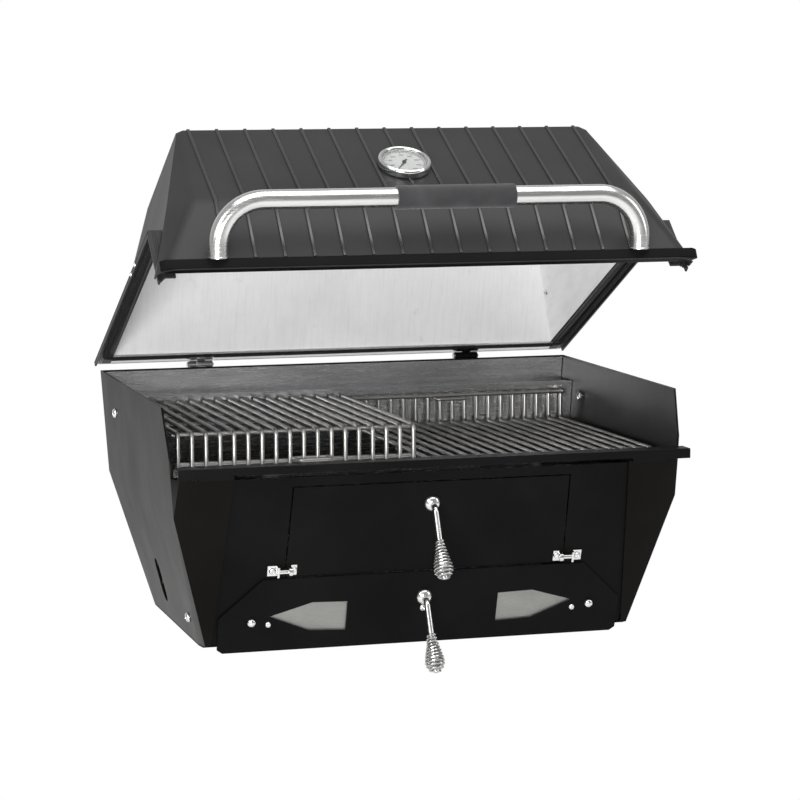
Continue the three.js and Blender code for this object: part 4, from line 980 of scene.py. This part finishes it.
def thermometer():
    r = GAUGE_R
    case = Build(opened())
    bezel = [(0, 0.6), (r - 1.2, 0.6), (r - 0.3, 1.4), (r, 3), (r, 8.4), (r - 0.3, 10.2), (r - 1.2, 11.6)]
    bezel += [(r - 2.6, 12.4), (r - 4, 12.3), (r - 5, 11.4), (r - 5.5, 10.4), (r - 5.5, 4), (0, 4)]
    case.lathe(bezel, GAUGE, GAUGE_OUT, 72)
    stem = [(0, -62), (1.6, -61.6), (2.7, -60.6), (3, -59), (3, -22), (4.6, -22), (4.6, 1), (0, 1)]
    case.lathe(stem, GAUGE, GAUGE_OUT, 28)
    place(case, "thermometer_case_turned", CHROME, "bright_steel", "thermometer_case", smooth=38)
    nut = Build(opened())
    ring = [(5.2, -5), (9.1, -5), (9.5, -5.4), (9.5, -9.1), (9.1, -9.5), (5.2, -9.5), (5.2, -5)]
    nut.lathe(ring, GAUGE, GAUGE_OUT, 6)
    place(nut, "thermometer_nut_hex", PLATED, "stainless", "thermometer_nut", smooth=20)
    dial = Build(opened())
    edge = r - 5.9
    plate = [(0, 4.3), (edge - 0.3, 4.3), (edge, 4.6), (edge, 5.1), (edge - 0.3, 5.3), (0, 5.3)]
    dial.lathe(plate, GAUGE, GAUGE_OUT, 72)
    place(dial, "thermometer_dial_plate", DIAL, "dial_white", "thermometer_dial")
    dial_print(edge)
    pointer = Build(opened())
    tip = dial_point(-DIAL_SWEEP, 23.4, 6.5)
    tail = dial_point(math.pi - DIAL_SWEEP, 8, 6.5)
    pointer.sweep([tail, GAUGE + GAUGE_OUT * 6.5, tip], [1.5, 1.2, 0.25], 12, flat=0.28, up=GAUGE_OUT)
    pointer.lathe([(0, 5.7), (2.4, 5.7), (2.8, 6.1), (2.8, 7.2), (2.2, 7.9), (0, 8)], GAUGE, GAUGE_OUT, 28)
    place(pointer, "thermometer_pointer_flat", INK, "needle_black", "thermometer_needle")
    lens = Build(opened())
    glass = [(0, 9), (edge - 0.2, 9), (edge, 9.2), (edge, 9.9)]
    glass += [(edge * 0.7, 10.25), (edge * 0.35, 10.5), (0, 10.6)]
    lens.lathe(glass, GAUGE, GAUGE_OUT, 72)
    place(lens, "thermometer_lens_glass", GLASS, "lens_glass", "thermometer_lens", smooth=60)


def dial_print(edge):
    """Ticks, a scale arc and plain numbers, standing a hair proud of the dial."""
    ink = Build(opened())
    for k in range(TICKS + 1):
        length, wide = (4.8, 0.55) if k % TICKS_PER_NUMBER == 0 else (2.4, 0.28)
        strip(ink, dial_angle(k / TICKS), edge - 2.2 - length, edge - 2.2, wide, DIAL_FACE)
    for k in range(ARC_STEPS):
        start, end = dial_angle(k / ARC_STEPS), dial_angle((k + 1) / ARC_STEPS)
        outline = ((start, edge - 2.4), (end, edge - 2.4), (end, edge - 1.8), (start, edge - 1.8))
        slab(ink, [dial_point(angle, radius, DIAL_FACE) for angle, radius in outline])
    place(ink, "thermometer_scale", INK, "needle_black", body="lid", smooth=20)
    turn = opened()
    basis = Matrix((X_AXIS, DIAL_UP, GAUGE_OUT)).transposed().to_4x4()
    work = bmesh.new()
    for k in range(0, TICKS + 1, TICKS_PER_NUMBER):
        text = str(50 + 50 * (k // TICKS_PER_NUMBER))
        at = dial_point(dial_angle(k / TICKS), edge - 10.6, DIAL_FACE)
        curve = bpy.data.curves.new("number", "FONT")
        curve.body = text
        curve.size = 4.6
        curve.align_x = "CENTER"
        curve.align_y = "CENTER"
        curve.extrude = 0.06
        letter = bpy.data.objects.new("number", curve)
        bpy.context.scene.collection.objects.link(letter)
        bpy.context.view_layer.update()
        solid = letter.evaluated_get(bpy.context.evaluated_depsgraph_get())
        mesh = bpy.data.meshes.new_from_object(solid)
        mesh.transform(turn @ Matrix.Translation(at + GAUGE_OUT * 0.06) @ basis)
        work.from_mesh(mesh)
        bpy.data.meshes.remove(mesh)
        bpy.data.objects.remove(letter)
        bpy.data.curves.remove(curve)
    printed = Build()
    printed.mesh.free()
    printed.mesh = work
    place(printed, "thermometer_numbers", INK, "needle_black", body="lid", smooth=20)


def slab(build, corners, thick=0.1):
    """A thin plate over four points of the dial."""
    top = [corner + GAUGE_OUT * thick for corner in corners]
    faces = [(3, 2, 1, 0), (4, 5, 6, 7)]
    faces += [(i, (i + 1) % 4, (i + 1) % 4 + 4, i + 4) for i in range(4)]
    build.add(corners + top, faces)


def strip(build, angle, inner, outer, wide, height):
    """A short radial line on the dial."""
    across = X_AXIS * math.cos(angle) - DIAL_UP * math.sin(angle)
    low, high = dial_point(angle, inner, height), dial_point(angle, outer, height)
    half = across * wide / 2
    slab(build, [low - half, low + half, high + half, high - half])


side_bolts()
front_hardware()
spring_pull("door_handle", DOOR_BOSS_Z, PANEL_Y)
spring_pull("ash_handle", ASH_BOSS_Z, ASH_Y)
cooking_grid("left_cooking_grid", -1, GRID_HIGH_Z, GRID_LOW_Z, GRID_FRONT_Y, GRID_BACK_Y, 276.4, 244)
cooking_grid("right_cooking_grid", 1, GRID_LOW_Z, GRID_HIGH_Z, GRID_BACK_Y, GRID_FRONT_Y, 232.8, 274)
lid_shell()
lid_liner()
lid_rim_parts()
hinges()
lid_handle()
thermometer()


# ---------------------------------------------------------------- stage, lights and camera
def stage():
    """A pale floor well below the grill head, which hangs at its working height."""
    floor_z, half = -0.9, 1.6
    mesh = bpy.data.meshes.new("floor")
    corners = [(-half, -half, floor_z), (half, -half, floor_z), (half, half, floor_z), (-half, half, floor_z)]
    mesh.from_pydata(corners, [], [(0, 1, 2, 3)])
    paint = Paint("pale_floor", (0.86, 0.86, 0.86), 0.9, 0.0, 0.2)
    paint.tint(paint.ramp(paint.noise(1.5, 5), 0.4, 0.8, 0, 0.3), (0.83, 0.83, 0.83))
    mesh.materials.append(paint.material)
    floor = bpy.data.objects.new("floor", mesh)
    bpy.context.scene.collection.objects.link(floor)


def softbox(name, at, aim, size, power):
    light = bpy.data.lights.new(name, "AREA")
    light.shape = "RECTANGLE"
    light.size, light.size_y = size
    light.energy = power
    lamp = bpy.data.objects.new(name, light)
    lamp.location = at
    lamp.rotation_euler = (Vector(aim) - Vector(at)).to_track_quat("-Z", "Y").to_euler()
    bpy.context.scene.collection.objects.link(lamp)


def map_range(owner, source, reads, gives):
    node = owner.node_tree.nodes.new("ShaderNodeMapRange")
    for socket, value in zip(("From Min", "From Max", "To Min", "To Max"), reads + gives):
        node.inputs[socket].default_value = value
    owner.node_tree.links.new(source, node.inputs["Value"])
    return node.outputs["Result"]


def world():
    """White to the eye; as light it is brightest below and behind, and dim on the cook's side."""
    made = bpy.data.worlds.new("studio")
    bpy.context.scene.world = made
    made.use_nodes = True
    nodes, links = made.node_tree.nodes, made.node_tree.links
    background = nodes["Background"]
    background.inputs["Color"].default_value = (1, 1, 1, 1)
    place_node = nodes.new("ShaderNodeTexCoord")
    split = nodes.new("ShaderNodeSeparateXYZ")
    links.new(place_node.outputs["Generated"], split.inputs["Vector"])
    total = map_range(made, split.outputs["Y"], (-0.9, 0.45), (0.28, 0.42))
    parts = [("Y", (0.45, 0.95), (0, 0.3)), ("Z", (-0.12, -0.4), (0, 0.8))]
    for axis, reads, gives in parts:
        add = nodes.new("ShaderNodeMath")
        links.new(total, add.inputs[0])
        links.new(map_range(made, split.outputs[axis], reads, gives), add.inputs[1])
        total = add.outputs["Value"]
    links.new(total, background.inputs["Strength"])
    seen = nodes.new("ShaderNodeBackground")
    seen.inputs["Color"].default_value = (1, 1, 1, 1)
    mix = nodes.new("ShaderNodeMixShader")
    ray = nodes.new("ShaderNodeLightPath")
    links.new(ray.outputs["Is Camera Ray"], mix.inputs["Fac"])
    links.new(background.outputs["Background"], mix.inputs[1])
    links.new(seen.outputs["Background"], mix.inputs[2])
    links.new(mix.outputs["Shader"], nodes["World Output"].inputs["Surface"])


def camera():
    """A long lens, left of the front and a little above."""
    azimuth, pitch, roll = math.radians(15.11), math.radians(6.03), math.radians(-0.42)
    level = Vector((math.sin(azimuth), math.cos(azimuth), 0))
    forward = level * math.cos(pitch) - Z_AXIS * math.sin(pitch)
    right = Vector((math.cos(azimuth), -math.sin(azimuth), 0))
    up = right.cross(forward)
    turned_right = right * math.cos(roll) + up * math.sin(roll)
    turned_up = up * math.cos(roll) - right * math.sin(roll)
    lens = bpy.data.cameras.new("camera")
    lens.lens = 120
    lens.sensor_width = 36
    lens.shift_x = 0.0587
    lens.shift_y = -0.0216
    lens.clip_end = 60
    eye = bpy.data.objects.new("camera", lens)
    turn = Matrix((turned_right, turned_up, -forward)).transposed().to_4x4()
    eye.matrix_world = Matrix.Translation((-0.9842, -3.4905, 0.7017)) @ turn
    bpy.context.scene.collection.objects.link(eye)
    bpy.context.scene.camera = eye


stage()
world()
softbox("overhead", (0.2, -0.95, 2.6), (0.1, -0.4, 0.3), (3.0, 2.0), 48)
softbox("front_fill", (-1.35, -2.8, 0.36), (0, 0.1, 0.42), (1.4, 0.6), 64)
softbox("left_key", (-2.4, -1.6, 1.6), (0, 0, 0.3), (1.0, 1.6), 18)
softbox("right_fill", (2.6, -1.4, 1.2), (0, 0, 0.3), (0.8, 1.6), 10)
camera()
bpy.context.scene.view_settings.view_transform = "Standard"
